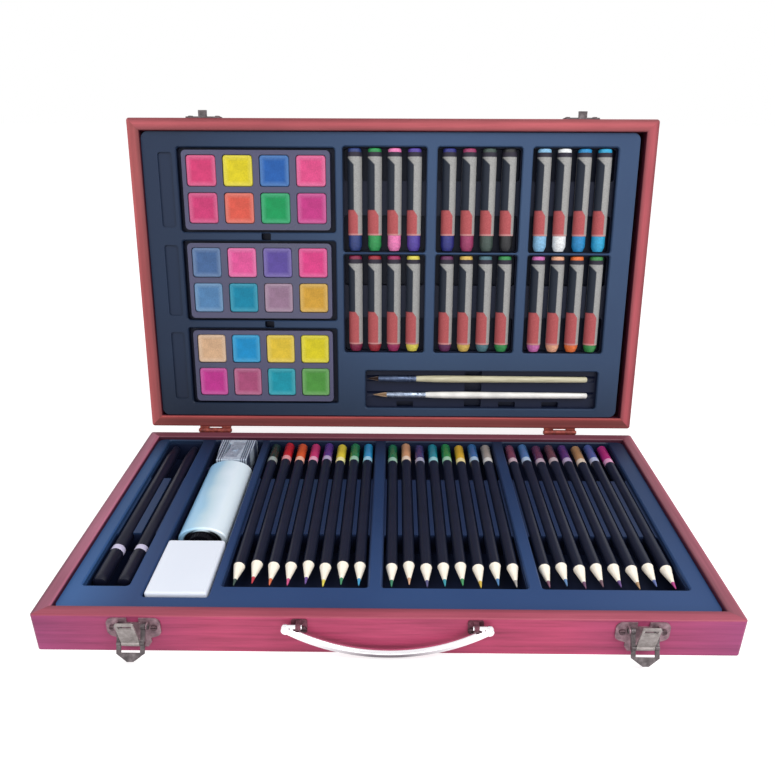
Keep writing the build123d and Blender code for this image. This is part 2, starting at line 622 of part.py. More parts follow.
def pencil():
    """One sharpened pencil along y with its tip at y = 0, as a casing and a lead."""
    length, cone, radius = PENCIL_LENGTH, PENCIL_CONE, PENCIL_RADIUS
    bore = LEAD_RADIUS + LEAD_PLAY
    exposed = cone * bore / radius
    casing = turned(
        (bore, exposed),
        (radius, cone),
        (radius, length - PENCIL_END_ROUND),
        (radius - PENCIL_END_ROUND, length),
        (0, length),
        (0, length - LEAD_INSET),
        (bore, length - LEAD_INSET),
    )
    shoulder = cone * LEAD_RADIUS / radius
    lead = turned(
        (0, 0),
        (LEAD_TIP_RADIUS, 0),
        (LEAD_RADIUS, shoulder),
        (LEAD_RADIUS, length - LEAD_INSET),
        (0, length - LEAD_INSET),
    )
    return casing, lead


def pencil_set(x):
    """Eight pencils side by side, lying a little unevenly as loose pencils do."""
    pieces = []
    for i, step in enumerate(spread(PENCILS_PER_SET, PENCIL_PITCH)):
        slip = PENCIL_STAGGER * math.sin(2.4 * i + x)
        place = Pos(x + step, PENCIL_TIP_Y + slip, PENCIL_AXIS_Z)
        pieces += [place * piece for piece in pencil()]
    return pieces


def drawing_pen(x):
    """A capped pen along y, cap to the front: cap, pale ring and barrel."""
    cap, ring_end, end = PEN_CAP_LENGTH, PEN_CAP_LENGTH + PEN_RING_LENGTH, PEN_LENGTH
    big, small, nib = PEN_CAP_RADIUS, PEN_RADIUS, PEN_NIB
    inside = small + PEN_CAP_PLAY
    cap_piece = turned(
        (0, 0),
        (big - PEN_CROWN, 0),
        (big, PEN_CROWN),
        (big, cap),
        (inside, cap),
        (inside, nib),
        (0, nib),
    )
    ring_piece = turned((inside, cap), (big, cap), (big, ring_end), (inside, ring_end))
    body, slim = big - PEN_BARREL_STEP, small - PEN_END_SLIMMING
    barrel = turned(
        (0, nib + PEN_CAP_PLAY),
        (PEN_NIB_RADIUS, nib + PEN_CAP_PLAY),
        (small, nib + PEN_NIB_TAPER),
        (small, ring_end),
        (body, ring_end),
        (body, end - PEN_TAPER),
        (slim, end - PEN_CROWN),
        (slim - PEN_CROWN, end),
        (0, end),
    )
    place = Pos(x, PEN_TIP_Y, PEN_AXIS_Z)
    return [place * piece for piece in (cap_piece, ring_piece, barrel)]


def eraser():
    """A plain white block with worn edges."""
    length, height = ERASER_LENGTH, ERASER_HEIGHT
    body = Box(COLUMN_WIDTH - 2 * ERASER_SIDE_PLAY, length, height)
    body = fillet(body.edges(), ERASER_ROUND)
    return Pos(COLUMN_X, ERASER_Y + length / 2, ERASER_FLOOR + REST_GAP + height / 2) * body


def oval_bar(width, height, y0, y1):
    """A bar of oval section along y."""
    return Pos(0, y1, 0) * extrude(Plane.XZ * Ellipse(width / 2, height / 2), y1 - y0)


def paint_tube():
    """A paint tube of oval section along y: shoulder, neck and screw cap to the front."""
    shoulder_width, shoulder_height, shoulder = TUBE_SHOULDER
    body = fillet(oval_bar(TUBE_WIDTH, TUBE_HEIGHT, 0, TUBE_LENGTH).edges(), TUBE_END_ROUND)
    body += oval_bar(shoulder_width, shoulder_height, -shoulder, 0)
    neck_end = -shoulder - TUBE_NECK_LENGTH
    body += rod((0, 0, 0), (0, neck_end, 0), TUBE_NECK_RADIUS)
    near = -shoulder - TUBE_CAP_STANDOFF
    far = near - TUBE_CAP_LENGTH
    cap = rod((0, near, 0), (0, far, 0), TUBE_CAP_RADIUS)
    for i in range(TUBE_CAP_RIBS):
        angle = 2 * math.pi * i / TUBE_CAP_RIBS
        x, rise = TUBE_CAP_RADIUS * math.cos(angle), TUBE_CAP_RADIUS * math.sin(angle)
        cap -= rod((x, near, rise), (x, far, rise), TUBE_CAP_RIB_RADIUS)
    cap -= rod((0, near, 0), (0, neck_end - PIN_PLAY, 0), TUBE_NECK_RADIUS + PIN_PLAY)
    place = Pos(COLUMN_X, TUBE_FRONT_Y, DEEP_FLOOR + REST_GAP + TUBE_HEIGHT / 2)
    return place * body, place * cap


def sharpener():
    """A wedge sharpener along y, its bore at the back: body, blade and screw."""
    front, back = (width / 2 for width in SHARPENER_WIDTHS)
    length, height = SHARPENER_LENGTH, SHARPENER_HEIGHT
    middle = length / 2
    outline = Polyline((-front, 0), (front, 0), (back, length), (-back, length), close=True)
    body = extrude(make_face(outline), height)
    body = fillet(body.edges().group_by(Axis.Z)[-1], SHARPENER_ROUND)
    wide, narrow = SHARPENER_BORE
    bore = Cone(wide, narrow, SHARPENER_BORE_LENGTH, align=(Align.CENTER, Align.CENTER, Align.MIN))
    body -= Pos(0, length, SHARPENER_BORE_Z) * Rot(90, 0, 0) * bore
    blade_width, blade_length, blade_thick = BLADE_SIZE
    seat = Pos(0, middle, height - blade_thick) * Rot(0, 0, BLADE_TURN)
    body -= seat * Pos(0, 0, 1) * Box(blade_width + 2 * BLADE_PLAY, blade_length + 2 * BLADE_PLAY, 2)
    slot_width, slot_front, slot_back = SHAVING_SLOT
    slot_sides = (-blade_width / 2 - slot_width, -blade_width / 2)
    body -= slab(*slot_sides, slot_front, length - slot_back, SHARPENER_BORE_Z, height + 1)
    rib_width, rib_height = SHARPENER_RIB_SIZE
    for side in (-1, 1):
        for i in range(SHARPENER_RIBS):
            x = side * (front - SHARPENER_RIB_INSET - i * SHARPENER_RIB_PITCH)
            body -= Pos(x, middle, height) * Box(rib_width, length * SHARPENER_RIB_REACH, rib_height)
    shank_radius, head_radius, head, shank = BLADE_SCREW
    hole = rod((0, middle, height - shank - PIN_PLAY), (0, middle, height + 1), shank_radius + PIN_PLAY)
    blade = seat * Pos(0, 0, blade_thick / 2) * Box(blade_width, blade_length, blade_thick) - hole
    screw_piece = rod((0, middle, height), (0, middle, height + head), head_radius)
    screw_piece += rod((0, middle, height - shank), (0, middle, height), shank_radius)
    place = Pos(COLUMN_X, SHARPENER_Y, SHARPENER_FLOOR + REST_GAP)
    return [place * piece for piece in (body - hole, blade, screw_piece)]


def cake_places():
    """The middles of a palette's cakes, from its own middle."""
    columns, rows = CAKE_GRID
    return [
        (x, y + CAKE_SHIFT_Y)
        for y in spread(rows, CAKE_PITCH[1])
        for x in spread(columns, CAKE_PITCH[0])
    ]


def palette():
    """One moulded palette and its eight paint cakes, about its own middle."""
    width, length = PALETTE_WIDTH, PALETTE_LENGTH
    top = PALETTE_BASE_Z + PALETTE_HEIGHT
    well_floor = top - CAKE_HEIGHT - CAKE_SINK
    half = CAKE / 2 + CAKE_PLAY
    block = fillet(Box(CAKE, CAKE, CAKE_HEIGHT).edges().filter_by(Axis.Z), CAKE_CORNER)
    block = fillet(block.edges().group_by(Axis.Z)[-1], CAKE_ROUND)
    wells = []
    cakes = []
    for x, y in cake_places():
        around = (x - half, x + half, y - half, y + half)
        wells.append(pocket(*around, well_floor, top=top, corner=CAKE_CORNER, sheet=PALETTE_WALL))
        cakes.append(Pos(x, y, well_floor + CAKE_HEIGHT / 2) * block)
    outline = (-width / 2, width / 2, -length / 2, length / 2, PALETTE_CORNER)
    return moulded_sheet(outline, PALETTE_BASE_Z, top, wells, []), cakes


def pastel(wrapper_start):
    """One stick along y with its bare tip at y = 0, and its paper wrapper."""
    radius, length = PASTEL_RADIUS, PASTEL_LENGTH
    stick = turned(
        (0, 0),
        (PASTEL_TIP_RADIUS, 0),
        (radius, PASTEL_TIP_LENGTH),
        (radius, length - PASTEL_END_ROUND),
        (radius - PASTEL_END_ROUND, length),
        (0, length),
    )
    inside = radius + WRAPPER_PLAY
    outside = radius + WRAPPER_WALL
    wrapper = turned(
        (inside, wrapper_start),
        (outside, wrapper_start),
        (outside, WRAPPER_END),
        (inside, WRAPPER_END),
    )
    return stick, wrapper


def pastel_set(x, row):
    """Four pastels side by side, in the lid's own frame."""
    y = PASTEL_ROW_Y[row]
    places = [Pos(x + step, y, PASTEL_AXIS_Z) for step in spread(PASTELS_PER_SET, PASTEL_PITCH)]
    return [place * piece for place in places for piece in pastel(WRAPPER_START[row])]


def strand(length):
    """One upright bristle along y, thinner at its tip, rooted half-way into the backing."""
    sections = []
    for y, width in ((-TUFT_BACKING / 2, STRAND_WIDTH), (length, STRAND_WIDTH * STRAND_TIP)):
        sections.append(Pos(0, y, 0) * Rot(-90, 0, 0) * RegularPolygon(width / 2, STRAND_SIDES))
    return loft(sections, ruled=True)


def tuft(length):
    """Bristles along +y from a thin round backing, longer toward the middle, that never cross."""
    reach = FERRULE_MOUTH_RADIUS - FERRULE_WALL - STRAND_WIDTH
    lengths = [strand(length * (1 - TUFT_POINT * i / TUFT_STEPS)) for i in range(TUFT_STEPS)]
    strands = []
    for i in range(TUFT_STRANDS):
        share = (i + 0.5) / TUFT_STRANDS
        radius, angle = reach * math.sqrt(share), i * GOLDEN_ANGLE
        place = Rot(0, math.degrees(angle), 0) * Pos(radius, 0, 0)
        strands.append(place * lengths[int(share * TUFT_STEPS)])
    backing = rod((0, -TUFT_BACKING, 0), (0, 0, 0), reach + STRAND_WIDTH / 2)
    return backing.fuse(*strands)


def brush(sizes):
    """One paint brush, drawn along y and laid along x: handle, ferrule and bristles."""
    bristles, ferrule, handle_length = sizes["bristles"], sizes["ferrule"], sizes["handle"]
    joint = bristles + ferrule
    neck = bristles + FERRULE_NECK
    inside = FERRULE_RADIUS - FERRULE_WALL
    outside = [(FERRULE_MOUTH_RADIUS, bristles), (FERRULE_RADIUS, neck)]
    for groove in FERRULE_GROOVES:
        y = joint - groove
        depth, run = FERRULE_GROOVE
        outside += [(FERRULE_RADIUS, y), (FERRULE_RADIUS - depth, y + run), (FERRULE_RADIUS, y + 2 * run)]
    inner = [(inside, joint), (inside, neck), (FERRULE_MOUTH_RADIUS - FERRULE_WALL, bristles)]
    sleeve = turned(*outside, (FERRULE_RADIUS, joint), *inner)
    tail = joint + handle_length
    grip = inside - FERRULE_PLAY
    tail_length, tail_slimming = BRUSH_TAIL_ROUND
    wood = turned(
        (0, joint - FERRULE_GRIP),
        (grip, joint - FERRULE_GRIP),
        (grip, joint),
        (FERRULE_RADIUS, joint),
        (BRUSH_BELLY_RADIUS, joint + BRUSH_BELLY),
        (BRUSH_TAIL_RADIUS, tail - tail_length),
        (BRUSH_TAIL_RADIUS - tail_slimming, tail),
        (0, tail),
    )
    hair = Pos(0, bristles + TUFT_INSET, 0) * Rot(180, 0, 0) * tuft(bristles)
    tip = Pos(BRUSH_WELL_X[0] + sizes["tip_play"], BRUSH_WELL_Y[0] + sizes["y"], BRUSH_AXIS_Z)
    lay = tip * Rot(0, 0, -90)
    return [lay * piece for piece in (wood, sleeve, hair)]


def knuckle(x0, x1, toward):
    """A rolled knuckle about the hinge pin with the arm that joins it to its leaf, above or below the pin."""
    arm_z = sorted(PIN_Z + toward * reach for reach in HINGE_ARM)
    piece = rod((x0, PIN_Y, PIN_Z), (x1, PIN_Y, PIN_Z), BARREL_RADIUS)
    piece += slab(x0, x1, DEPTH, PIN_Y, *arm_z)
    return piece - rod((x0 - 1, PIN_Y, PIN_Z), (x1 + 1, PIN_Y, PIN_Z), PIN_RADIUS + PIN_PLAY)


def hinge_screw_places(x, toward):
    """Where one leaf's screws go, as x and z."""
    z = PIN_Z + toward * HINGE_SCREW_REACH
    return [(x - HINGE_SCREW_SPREAD / 2, z), (x + HINGE_SCREW_SPREAD / 2, z)]


def hinge_leaf(x, toward):
    """One leaf on the back face: below the pin on the base, above it on the closed lid."""
    half, middle = HINGE_WIDTH / 2, HINGE_MIDDLE_KNUCKLE / 2
    leaf_z = sorted(PIN_Z + toward * reach for reach in (HINGE_ARM[0], HINGE_LEAF_HEIGHT))
    leaf = slab(x - half, x + half, DEPTH, DEPTH + HINGE_LEAF, *leaf_z)
    if toward < 0:
        leaf += knuckle(x - middle, x + middle, toward)
    else:
        leaf += knuckle(x - half, x - middle - KNUCKLE_GAP, toward)
        leaf += knuckle(x + middle + KNUCKLE_GAP, x + half, toward)
    for hole_x, hole_z in hinge_screw_places(x, toward):
        leaf -= screw_hole(hole_x, DEPTH + HINGE_LEAF, hole_z, BACK)
    return leaf


def lid_hinge_leaf(x):
    """The lid's leaf in its open place, with the stop tail that bears on the base's leaf."""
    leaf = LID_SWING * hinge_leaf(x, 1)
    half, middle = HINGE_WIDTH / 2, HINGE_MIDDLE_KNUCKLE / 2 + KNUCKLE_GAP
    tail_y = DEPTH + HINGE_LEAF + STOP_GAP
    bore = rod((x - half, PIN_Y, PIN_Z), (x + half, PIN_Y, PIN_Z), PIN_RADIUS + PIN_PLAY)
    for x0, x1 in ((x - half, x - middle), (x + middle, x + half)):
        tail = slab(x0, x1, tail_y, tail_y + STOP_TAIL_THICKNESS, PIN_Z - STOP_TAIL, PIN_Z)
        leaf += tail - bore
    return leaf


def hinge_pin(x):
    """A pin with a head at each end."""
    half = HINGE_WIDTH / 2 + PIN_END_PLAY
    pin = rod((x - half, PIN_Y, PIN_Z), (x + half, PIN_Y, PIN_Z), PIN_RADIUS)
    for start, end in ((x - half - PIN_HEAD, x - half), (x + half, x + half + PIN_HEAD)):
        pin += rod((start, PIN_Y, PIN_Z), (end, PIN_Y, PIN_Z), PIN_HEAD_RADIUS)
    return pin


def latch_screw_places():
    """Where all the latch plates' screws go, as x and z."""
    return [(x + side * LATCH_SCREW_X, LATCH_SCREW_Z) for x in LATCH_X.values() for side in (-1, 1)]


def latch_plate(x):
    """The plate on the base's face: two screw ears, a foot, a slot for the hook, and two pivot cheeks."""
    low, high = LATCH_EAR_Z
    ear, foot = LATCH_EAR_HALF_WIDTH, LATCH_FOOT_HALF_WIDTH
    inset, rise = LATCH_FOOT_CORNER
    right_side = [
        (foot - inset, LATCH_FOOT_Z),
        (foot, LATCH_FOOT_Z + rise),
        (foot, low - inset),
        (ear, low),
        (ear, high),
    ]
    points = right_side + [(-point_x, z) for point_x, z in reversed(right_side)]
    plate = upright_plate(points, -LATCH_SHEET, 0)
    plate = fillet(plate.edges().filter_by(Axis.Y).filter_by(lambda e: abs(e.center().X) > ear - 1), LATCH_EAR_ROUND)
    slot_width, slot_height = LATCH_SLOT
    plate -= slab(-slot_width / 2, slot_width / 2, -1, 1, high - slot_height, high + 1)
    inner = LEVER_HALF_WIDTH + LEVER_PLAY
    for x0, x1 in ((inner, inner + CHEEK_THICKNESS), (-inner - CHEEK_THICKNESS, -inner)):
        cheek = slab(x0, x1, PIVOT_Y, 0, PIVOT_Z - CHEEK_RADIUS, PIVOT_Z + CHEEK_RADIUS)
        cheek += rod((x0, PIVOT_Y, PIVOT_Z), (x1, PIVOT_Y, PIVOT_Z), CHEEK_RADIUS)
        plate += cheek
    plate -= rod((-ear, PIVOT_Y, PIVOT_Z), (ear, PIVOT_Y, PIVOT_Z), RIVET_RADIUS + RIVET_PLAY)
    plate = Pos(x, 0, 0) * plate
    for side in (-1, 1):
        plate -= screw_hole(x + side * LATCH_SCREW_X, -LATCH_SHEET, LATCH_SCREW_Z, FRONT)
    return plate


def latch_rivets(x):
    """The two short rivets that a lever turns on."""
    rivets = []
    for side in (-1, 1):
        start = x + side * (LEVER_HALF_WIDTH - LEVER_ARM)
        end = x + side * (LEVER_HALF_WIDTH + LEVER_PLAY + CHEEK_THICKNESS)
        rivet = rod((start, PIVOT_Y, PIVOT_Z), (end, PIVOT_Y, PIVOT_Z), RIVET_RADIUS)
        head = rod((end, PIVOT_Y, PIVOT_Z), (end + side * RIVET_HEAD, PIVOT_Y, PIVOT_Z), RIVET_HEAD_RADIUS)
        rivets.append(rivet + head)
    return rivets


def about_pivot(angle):
    """A turn about the lever's pivot that swings its nose away from the case."""
    return Pos(0, PIVOT_Y, PIVOT_Z) * Rot(-angle, 0, 0) * Pos(0, -PIVOT_Y, -PIVOT_Z)


def latch_lever(x):
    """The forked lever in its resting place, nose swung out, with the pin that carries the link."""
    half, inner = LEVER_HALF_WIDTH, LEVER_HALF_WIDTH - LEVER_ARM
    nose = PIVOT_Z - LEVER_NOSE_START
    tip = PIVOT_Z - LEVER_REACH
    points = [
        (-half, PIVOT_Z),
        (-half, nose),
        (-LEVER_NOSE_HALF_WIDTH, tip),
        (LEVER_NOSE_HALF_WIDTH, tip),
        (half, nose),
        (half, PIVOT_Z),
    ]
    near, far = PIVOT_Y - LEVER_THICKNESS / 2, PIVOT_Y + LEVER_THICKNESS / 2
    lever = upright_plate(points, near, far)
    lever += rod((-half, PIVOT_Y, PIVOT_Z), (half, PIVOT_Y, PIVOT_Z), LEVER_HUB_RADIUS)
    window_low, window_high = PIVOT_Z - LEVER_WINDOW_END, PIVOT_Z + LEVER_HUB_RADIUS + 1
    lever -= slab(-inner, inner, near - 2, far + 2, window_low, window_high)
    lever -= rod((-half, PIVOT_Y, PIVOT_Z), (half, PIVOT_Y, PIVOT_Z), RIVET_RADIUS + PIN_PLAY)
    pin_z = PIVOT_Z - LINK_PIN_DROP
    for x0, x1 in ((-half, -inner), (inner, half)):
        lever += rod((x0, PIVOT_Y, pin_z), (x1, PIVOT_Y, pin_z), LINK_EYE_RADIUS)
    lever -= rod((-half, PIVOT_Y, pin_z), (half, PIVOT_Y, pin_z), LINK_PIN_RADIUS + LINK_PIN_GRIP)
    pin = rod((-half, PIVOT_Y, pin_z), (half, PIVOT_Y, pin_z), LINK_PIN_RADIUS)
    place = Pos(x, 0, 0) * about_pivot(LEVER_REST_ANGLE)
    return [place * lever, place * pin]


def latch_link(x):
    """The link in its resting place: an eye on the lever's pin, a strap and the window that takes the hook."""
    pin_z = PIVOT_Z - LINK_PIN_DROP
    half = LINK_HALF_WIDTH
    near, far = PIVOT_Y - LINK_THICKNESS / 2, PIVOT_Y + LINK_THICKNESS / 2
    link = slab(-half, half, near, far, pin_z, pin_z + LINK_LENGTH)
    link = fillet(link.edges().filter_by(Axis.Y).group_by(Axis.Z)[-1], LINK_ROUND)
    link += rod((-half, PIVOT_Y, pin_z), (half, PIVOT_Y, pin_z), LINK_EYE_RADIUS)
    link -= rod((-half, PIVOT_Y, pin_z), (half, PIVOT_Y, pin_z), LINK_PIN_RADIUS + PIN_PLAY)
    opening = HOOK_WIDTH / 2 + HOOK_PLAY
    window_top = pin_z + LINK_LENGTH - LINK_BAR
    link -= slab(-opening, opening, near - 1, far + 1, window_top - LINK_WINDOW_HEIGHT, window_top)
    turned_out = about_pivot(LEVER_REST_ANGLE)
    pin_rest = turned_out * Pos(0, PIVOT_Y, pin_z)
    pin_at = pin_rest.position
    lean = Pos(0, pin_at.Y, pin_at.Z) * Rot(LINK_REST_LEAN, 0, 0) * Pos(0, -PIVOT_Y, -pin_z)
    return Pos(x, 0, 0) * lean * link


def keeper_screw_places():
    """Where the keepers' screws go on the closed lid, as x and z."""
    z = HOOK_SHELF_Z + KEEPER_SCREW_RISE
    return [(x + side * KEEPER_SCREW_X, z) for x in LATCH_X.values() for side in (-1, 1)]


def keeper(x):
    """The plate on the closed lid's face with its upturned hook."""
    low = HOOK_SHELF_Z
    outline = Plane.XZ * Pos(0, low + KEEPER_HEIGHT / 2, 0)
    outline = outline * RectangleRounded(2 * KEEPER_HALF_WIDTH, KEEPER_HEIGHT, KEEPER_ROUND)
    plate = extrude(outline, LATCH_SHEET)
    reach = PIVOT_Y - LINK_THICKNESS / 2 - HOOK_PLAY
    outer = reach - LATCH_SHEET
    hook = slab(-HOOK_WIDTH / 2, HOOK_WIDTH / 2, outer, 0, low, low + LATCH_SHEET)
    lip = slab(-HOOK_WIDTH / 2, HOOK_WIDTH / 2, outer, reach, low, low + LATCH_SHEET + HOOK_LIP)
    lip = fillet(lip.edges().filter_by(Axis.Y).group_by(Axis.Z)[-1], HOOK_CORNER)
    piece = Pos(x, 0, 0) * (plate + hook + lip)
    for hole_x, z in keeper_screw_places():
        piece -= screw_hole(hole_x, -LATCH_SHEET, z, FRONT)
    return piece


def handle():
    """The bail, hanging: a bowed bar with a ball at each end and a stub turned inward from each ball."""
    ball_z = HANDLE_PIVOT_Z - HANDLE_STUB_RISE
    bow = Plane.XZ * ThreePointArc(
        (-HANDLE_HALF_CHORD, ball_z),
        (0, ball_z - HANDLE_SAG),
        (HANDLE_HALF_CHORD, ball_z),
    )
    bar = sweep(Plane(origin=bow @ 0, z_dir=bow % 0) * Circle(HANDLE_RADIUS), path=bow)
    for side in (-1, 1):
        ball_x = side * HANDLE_HALF_CHORD
        stub_ends = ((ball_x, 0, HANDLE_PIVOT_Z), (side * HANDLE_STUB_END_X, 0, HANDLE_PIVOT_Z))
        bar += Pos(ball_x, 0, ball_z) * Sphere(HANDLE_BALL_RADIUS)
        bar += rod(*stub_ends, HANDLE_STUB_RADIUS)
    return Pos(0, HANDLE_Y, 0) * bar


def handle_lug(side):
    """A plate with an ear that holds one end of the handle."""
    x0, x1 = sorted(side * x for x in LUG_PLATE_X)
    plate = slab(x0, x1, -LUG_SHEET, 0, *LUG_PLATE_Z)
    plate = fillet(plate.edges().filter_by(Axis.Y), LUG_PLATE_ROUND)
    near, far = side * LUG_X - LUG_EAR / 2, side * LUG_X + LUG_EAR / 2
    plate += slab(near, far, HANDLE_Y, 0, HANDLE_PIVOT_Z - LUG_WEB, HANDLE_PIVOT_Z + LUG_WEB)
    plate += rod((near, HANDLE_Y, HANDLE_PIVOT_Z), (far, HANDLE_Y, HANDLE_PIVOT_Z), LUG_EAR_RADIUS)
    bore = HANDLE_STUB_RADIUS + LUG_PLAY
    plate -= rod((near, HANDLE_Y, HANDLE_PIVOT_Z), (far, HANDLE_Y, HANDLE_PIVOT_Z), bore)
    for x in LUG_SCREW_X:
        plate -= screw_hole(side * x, -LUG_SHEET, LUG_SCREW_Z, FRONT)
    return plate


def lug_screw_places():
    """Where the lugs' screws go, as x and z."""
    return [(side * x, LUG_SCREW_Z) for side in (-1, 1) for x in LUG_SCREW_X]


def drilled(rail, places, seat_y, side):
    """A rail with pilot holes for the screws that bite into it."""
    for x, z in places:
        rail -= screw_hole(x, seat_y, z, side, PILOT_PLAY)
    return rail


def save_case():
    """The wooden halves, their trays and what is screwed to them."""
    wood = rails()
    base_hinge_screws = [place for x in HINGE_X.values() for place in hinge_screw_places(x, -1)]
    lid_hinge_screws = [place for x in HINGE_X.values() for place in hinge_screw_places(x, 1)]
    front_screws = [(*place, -LATCH_SHEET) for place in latch_screw_places()]
    front_screws += [(*place, -LUG_SHEET) for place in lug_screw_places()]
    front = wood["front"]
    for x, z, seat in front_screws:
        front -= screw_hole(x, seat, z, FRONT, PILOT_PLAY)
    back = drilled(wood["back"], base_hinge_screws, DEPTH + HINGE_LEAF, BACK)
    save("base_front_rail", front)
    save("base_back_rail", back)
    save("base_left_rail", wood["left"])
    save("base_right_rail", wood["right"])
    save("base_bottom_panel", panel())
    save("base_tray", base_tray())
    save("front_screws", *[screw(x, seat, z, FRONT) for x, z, seat in front_screws])
    seat = DEPTH + HINGE_LEAF
    save("hinge_base_screws", *[screw(x, seat, z, BACK) for x, z in base_hinge_screws])

    lid_front = drilled(LID_OVER_BASE * wood["back"], keeper_screw_places(), -LATCH_SHEET, FRONT)
    lid_back = drilled(LID_OVER_BASE * wood["front"], lid_hinge_screws, seat, BACK)
    save("lid_front_rail", LID_SWING * lid_front)
    save("lid_back_rail", LID_SWING * lid_back)
    save("lid_left_rail", LID_OPEN * wood["left"])
    save("lid_right_rail", LID_OPEN * wood["right"])
    save("lid_top_panel", LID_OPEN * panel())
    save("lid_tray", LID_OPEN * lid_tray())
    save("keeper_screws", *[LID_SWING * screw(x, -LATCH_SHEET, z, FRONT) for x, z in keeper_screw_places()])
    save("hinge_lid_screws", *[LID_SWING * screw(x, seat, z, BACK) for x, z in lid_hinge_screws])


def save_hardware():
    """Hinges, latches, keepers and the handle."""
    for side, x in HINGE_X.items():
        save(f"{side}_hinge_base_leaf", hinge_leaf(x, -1))
        save(f"{side}_hinge_lid_leaf", lid_hinge_leaf(x))
    save("hinge_pins", *[hinge_pin(x) for x in HINGE_X.values()])
    for side, x in LATCH_X.items():
        save(f"{side}_latch_plate", latch_plate(x))
        save(f"{side}_latch_lever", *latch_lever(x))
        save(f"{side}_latch_link", latch_link(x))
        save(f"{side}_keeper", LID_SWING * keeper(x))
    save("latch_rivets", *[rivet for x in LATCH_X.values() for rivet in latch_rivets(x)])
    save("carry_handle", handle())
    save("left_handle_lug", handle_lug(-1))
    save("right_handle_lug", handle_lug(1))


def save_base_contents():
    """What lies in the base's tray."""
    for side, x in PENCIL_SET_X.items():
        save(f"{side}_pencils", *pencil_set(x))
    save("left_pen", *drawing_pen(PEN_X[0]))
    save("right_pen", *drawing_pen(PEN_X[1]))
    save("eraser", eraser())
    body, cap = paint_tube()
    save("paint_tube_body", body)
    save("paint_tube_cap", cap)
    body, blade, screw_piece = sharpener()
    save("sharpener_body", body)
    save("sharpener_blade", blade)
    save("sharpener_screw", screw_piece)


def save_lid_contents():
    """What lies in the lid's tray."""
    holder, cakes = palette()
    for name, y in PALETTE_Y.items():
        place = LID_OPEN * Pos(PALETTE_X, y, 0)
        save(f"{name}_palette", place * holder)
        save(f"{name}_paint_cakes", *[place * cake for cake in cakes])
    for row in PASTEL_ROW_Y:
        for side, x in PASTEL_SET_X.items():
            save(f"{row}_{side}_pastels", *[LID_OPEN * piece for piece in pastel_set(x, row)])
    for name, sizes in (("upper", UPPER_BRUSH), ("lower", LOWER_BRUSH)):
        wood, sleeve, hair = brush(sizes)
        save(f"{name}_brush", LID_OPEN * wood, LID_OPEN * sleeve)
        save(f"{name}_brush_bristles", LID_OPEN * hair)


os.makedirs("parts", exist_ok=True)
save_case()
save_hardware()
save_base_contents()
save_lid_contents()
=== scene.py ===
import math
import random

import bpy
from mathutils import Matrix, Vector


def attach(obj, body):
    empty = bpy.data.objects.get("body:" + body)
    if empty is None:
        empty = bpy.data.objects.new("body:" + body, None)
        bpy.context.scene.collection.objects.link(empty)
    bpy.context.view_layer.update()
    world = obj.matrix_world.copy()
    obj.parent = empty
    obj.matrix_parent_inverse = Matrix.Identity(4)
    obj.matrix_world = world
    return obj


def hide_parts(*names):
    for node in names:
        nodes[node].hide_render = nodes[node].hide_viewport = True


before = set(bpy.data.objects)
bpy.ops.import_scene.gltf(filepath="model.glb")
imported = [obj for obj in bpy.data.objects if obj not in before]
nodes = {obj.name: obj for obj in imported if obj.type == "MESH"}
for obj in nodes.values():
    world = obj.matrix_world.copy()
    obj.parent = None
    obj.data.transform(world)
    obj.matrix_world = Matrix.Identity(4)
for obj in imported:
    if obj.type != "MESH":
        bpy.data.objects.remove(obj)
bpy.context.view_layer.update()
chance = random.Random(11)

# The case, in metres. BASE and LID, further down, are the frames of its halves
MM = 0.001
DEPTH = 221 * MM
CASE_HALF = 185 * MM
HALF_HEIGHT = 23 * MM
RAIL = 8.2 * MM
RIM_DEPTH = 0.6 * MM
FLANGE_Z = 20.5 * MM
RIM_GAP = 0.4 * MM
PIN_OUT = 3.1 * MM
OPEN_ANGLE = math.radians(100)

# Pencils, tips to the front
PENCIL_RADIUS = 3.4 * MM
PENCIL_LENGTH = 173.5 * MM
PENCIL_CONE = 18 * MM
PENCIL_LEAD = 1.0 * MM
PENCIL_LEAD_TIP = 0.3 * MM
PENCIL_DIP = 27 * MM
PENCIL_DIP_SKIN = 0.05 * MM
PENCIL_RING = 5.5 * MM
PENCIL_PITCH = 10 * MM
PENCIL_TIP_Y = 36 * MM
PENCIL_STAGGER = 1.2 * MM
PENCIL_STAGGER_STEP = 2.4
PENCIL_AXIS_Z = 16.4 * MM

# Oil pastels, bare tips to the hinge, and their printed wrappers
PASTEL_RADIUS = 4.75 * MM
PASTEL_LENGTH = 70 * MM
PASTEL_TIP_RADIUS = 3.4 * MM
PASTEL_TIP_LENGTH = 3.5 * MM
PASTEL_PITCH = 14.2 * MM
PASTEL_AXIS_Z = 16 * MM
PASTEL_TURN = 0.1
WRAPPER_RADIUS = 5.1 * MM
WRAPPER_START = {"lower": 5.5 * MM, "upper": 11 * MM}
WRAPPER_END = 67.5 * MM
WRAPPER_STEP = 0.02 * MM
WRAPPER_BAND = {"lower": 24 * MM, "upper": 17.5 * MM}
WRAPPER_BAND_EDGE = 2.6 * MM
WRAPPER_BAND_SLOPE = 1.4
WRAPPER_RING = 3 * MM
WRAPPER_FOOT = 1.2 * MM
PANEL_BELOW_TOP = 8.5 * MM
PANEL_IN_BAND = 1 * MM
PANEL_EDGE = -0.2 * MM

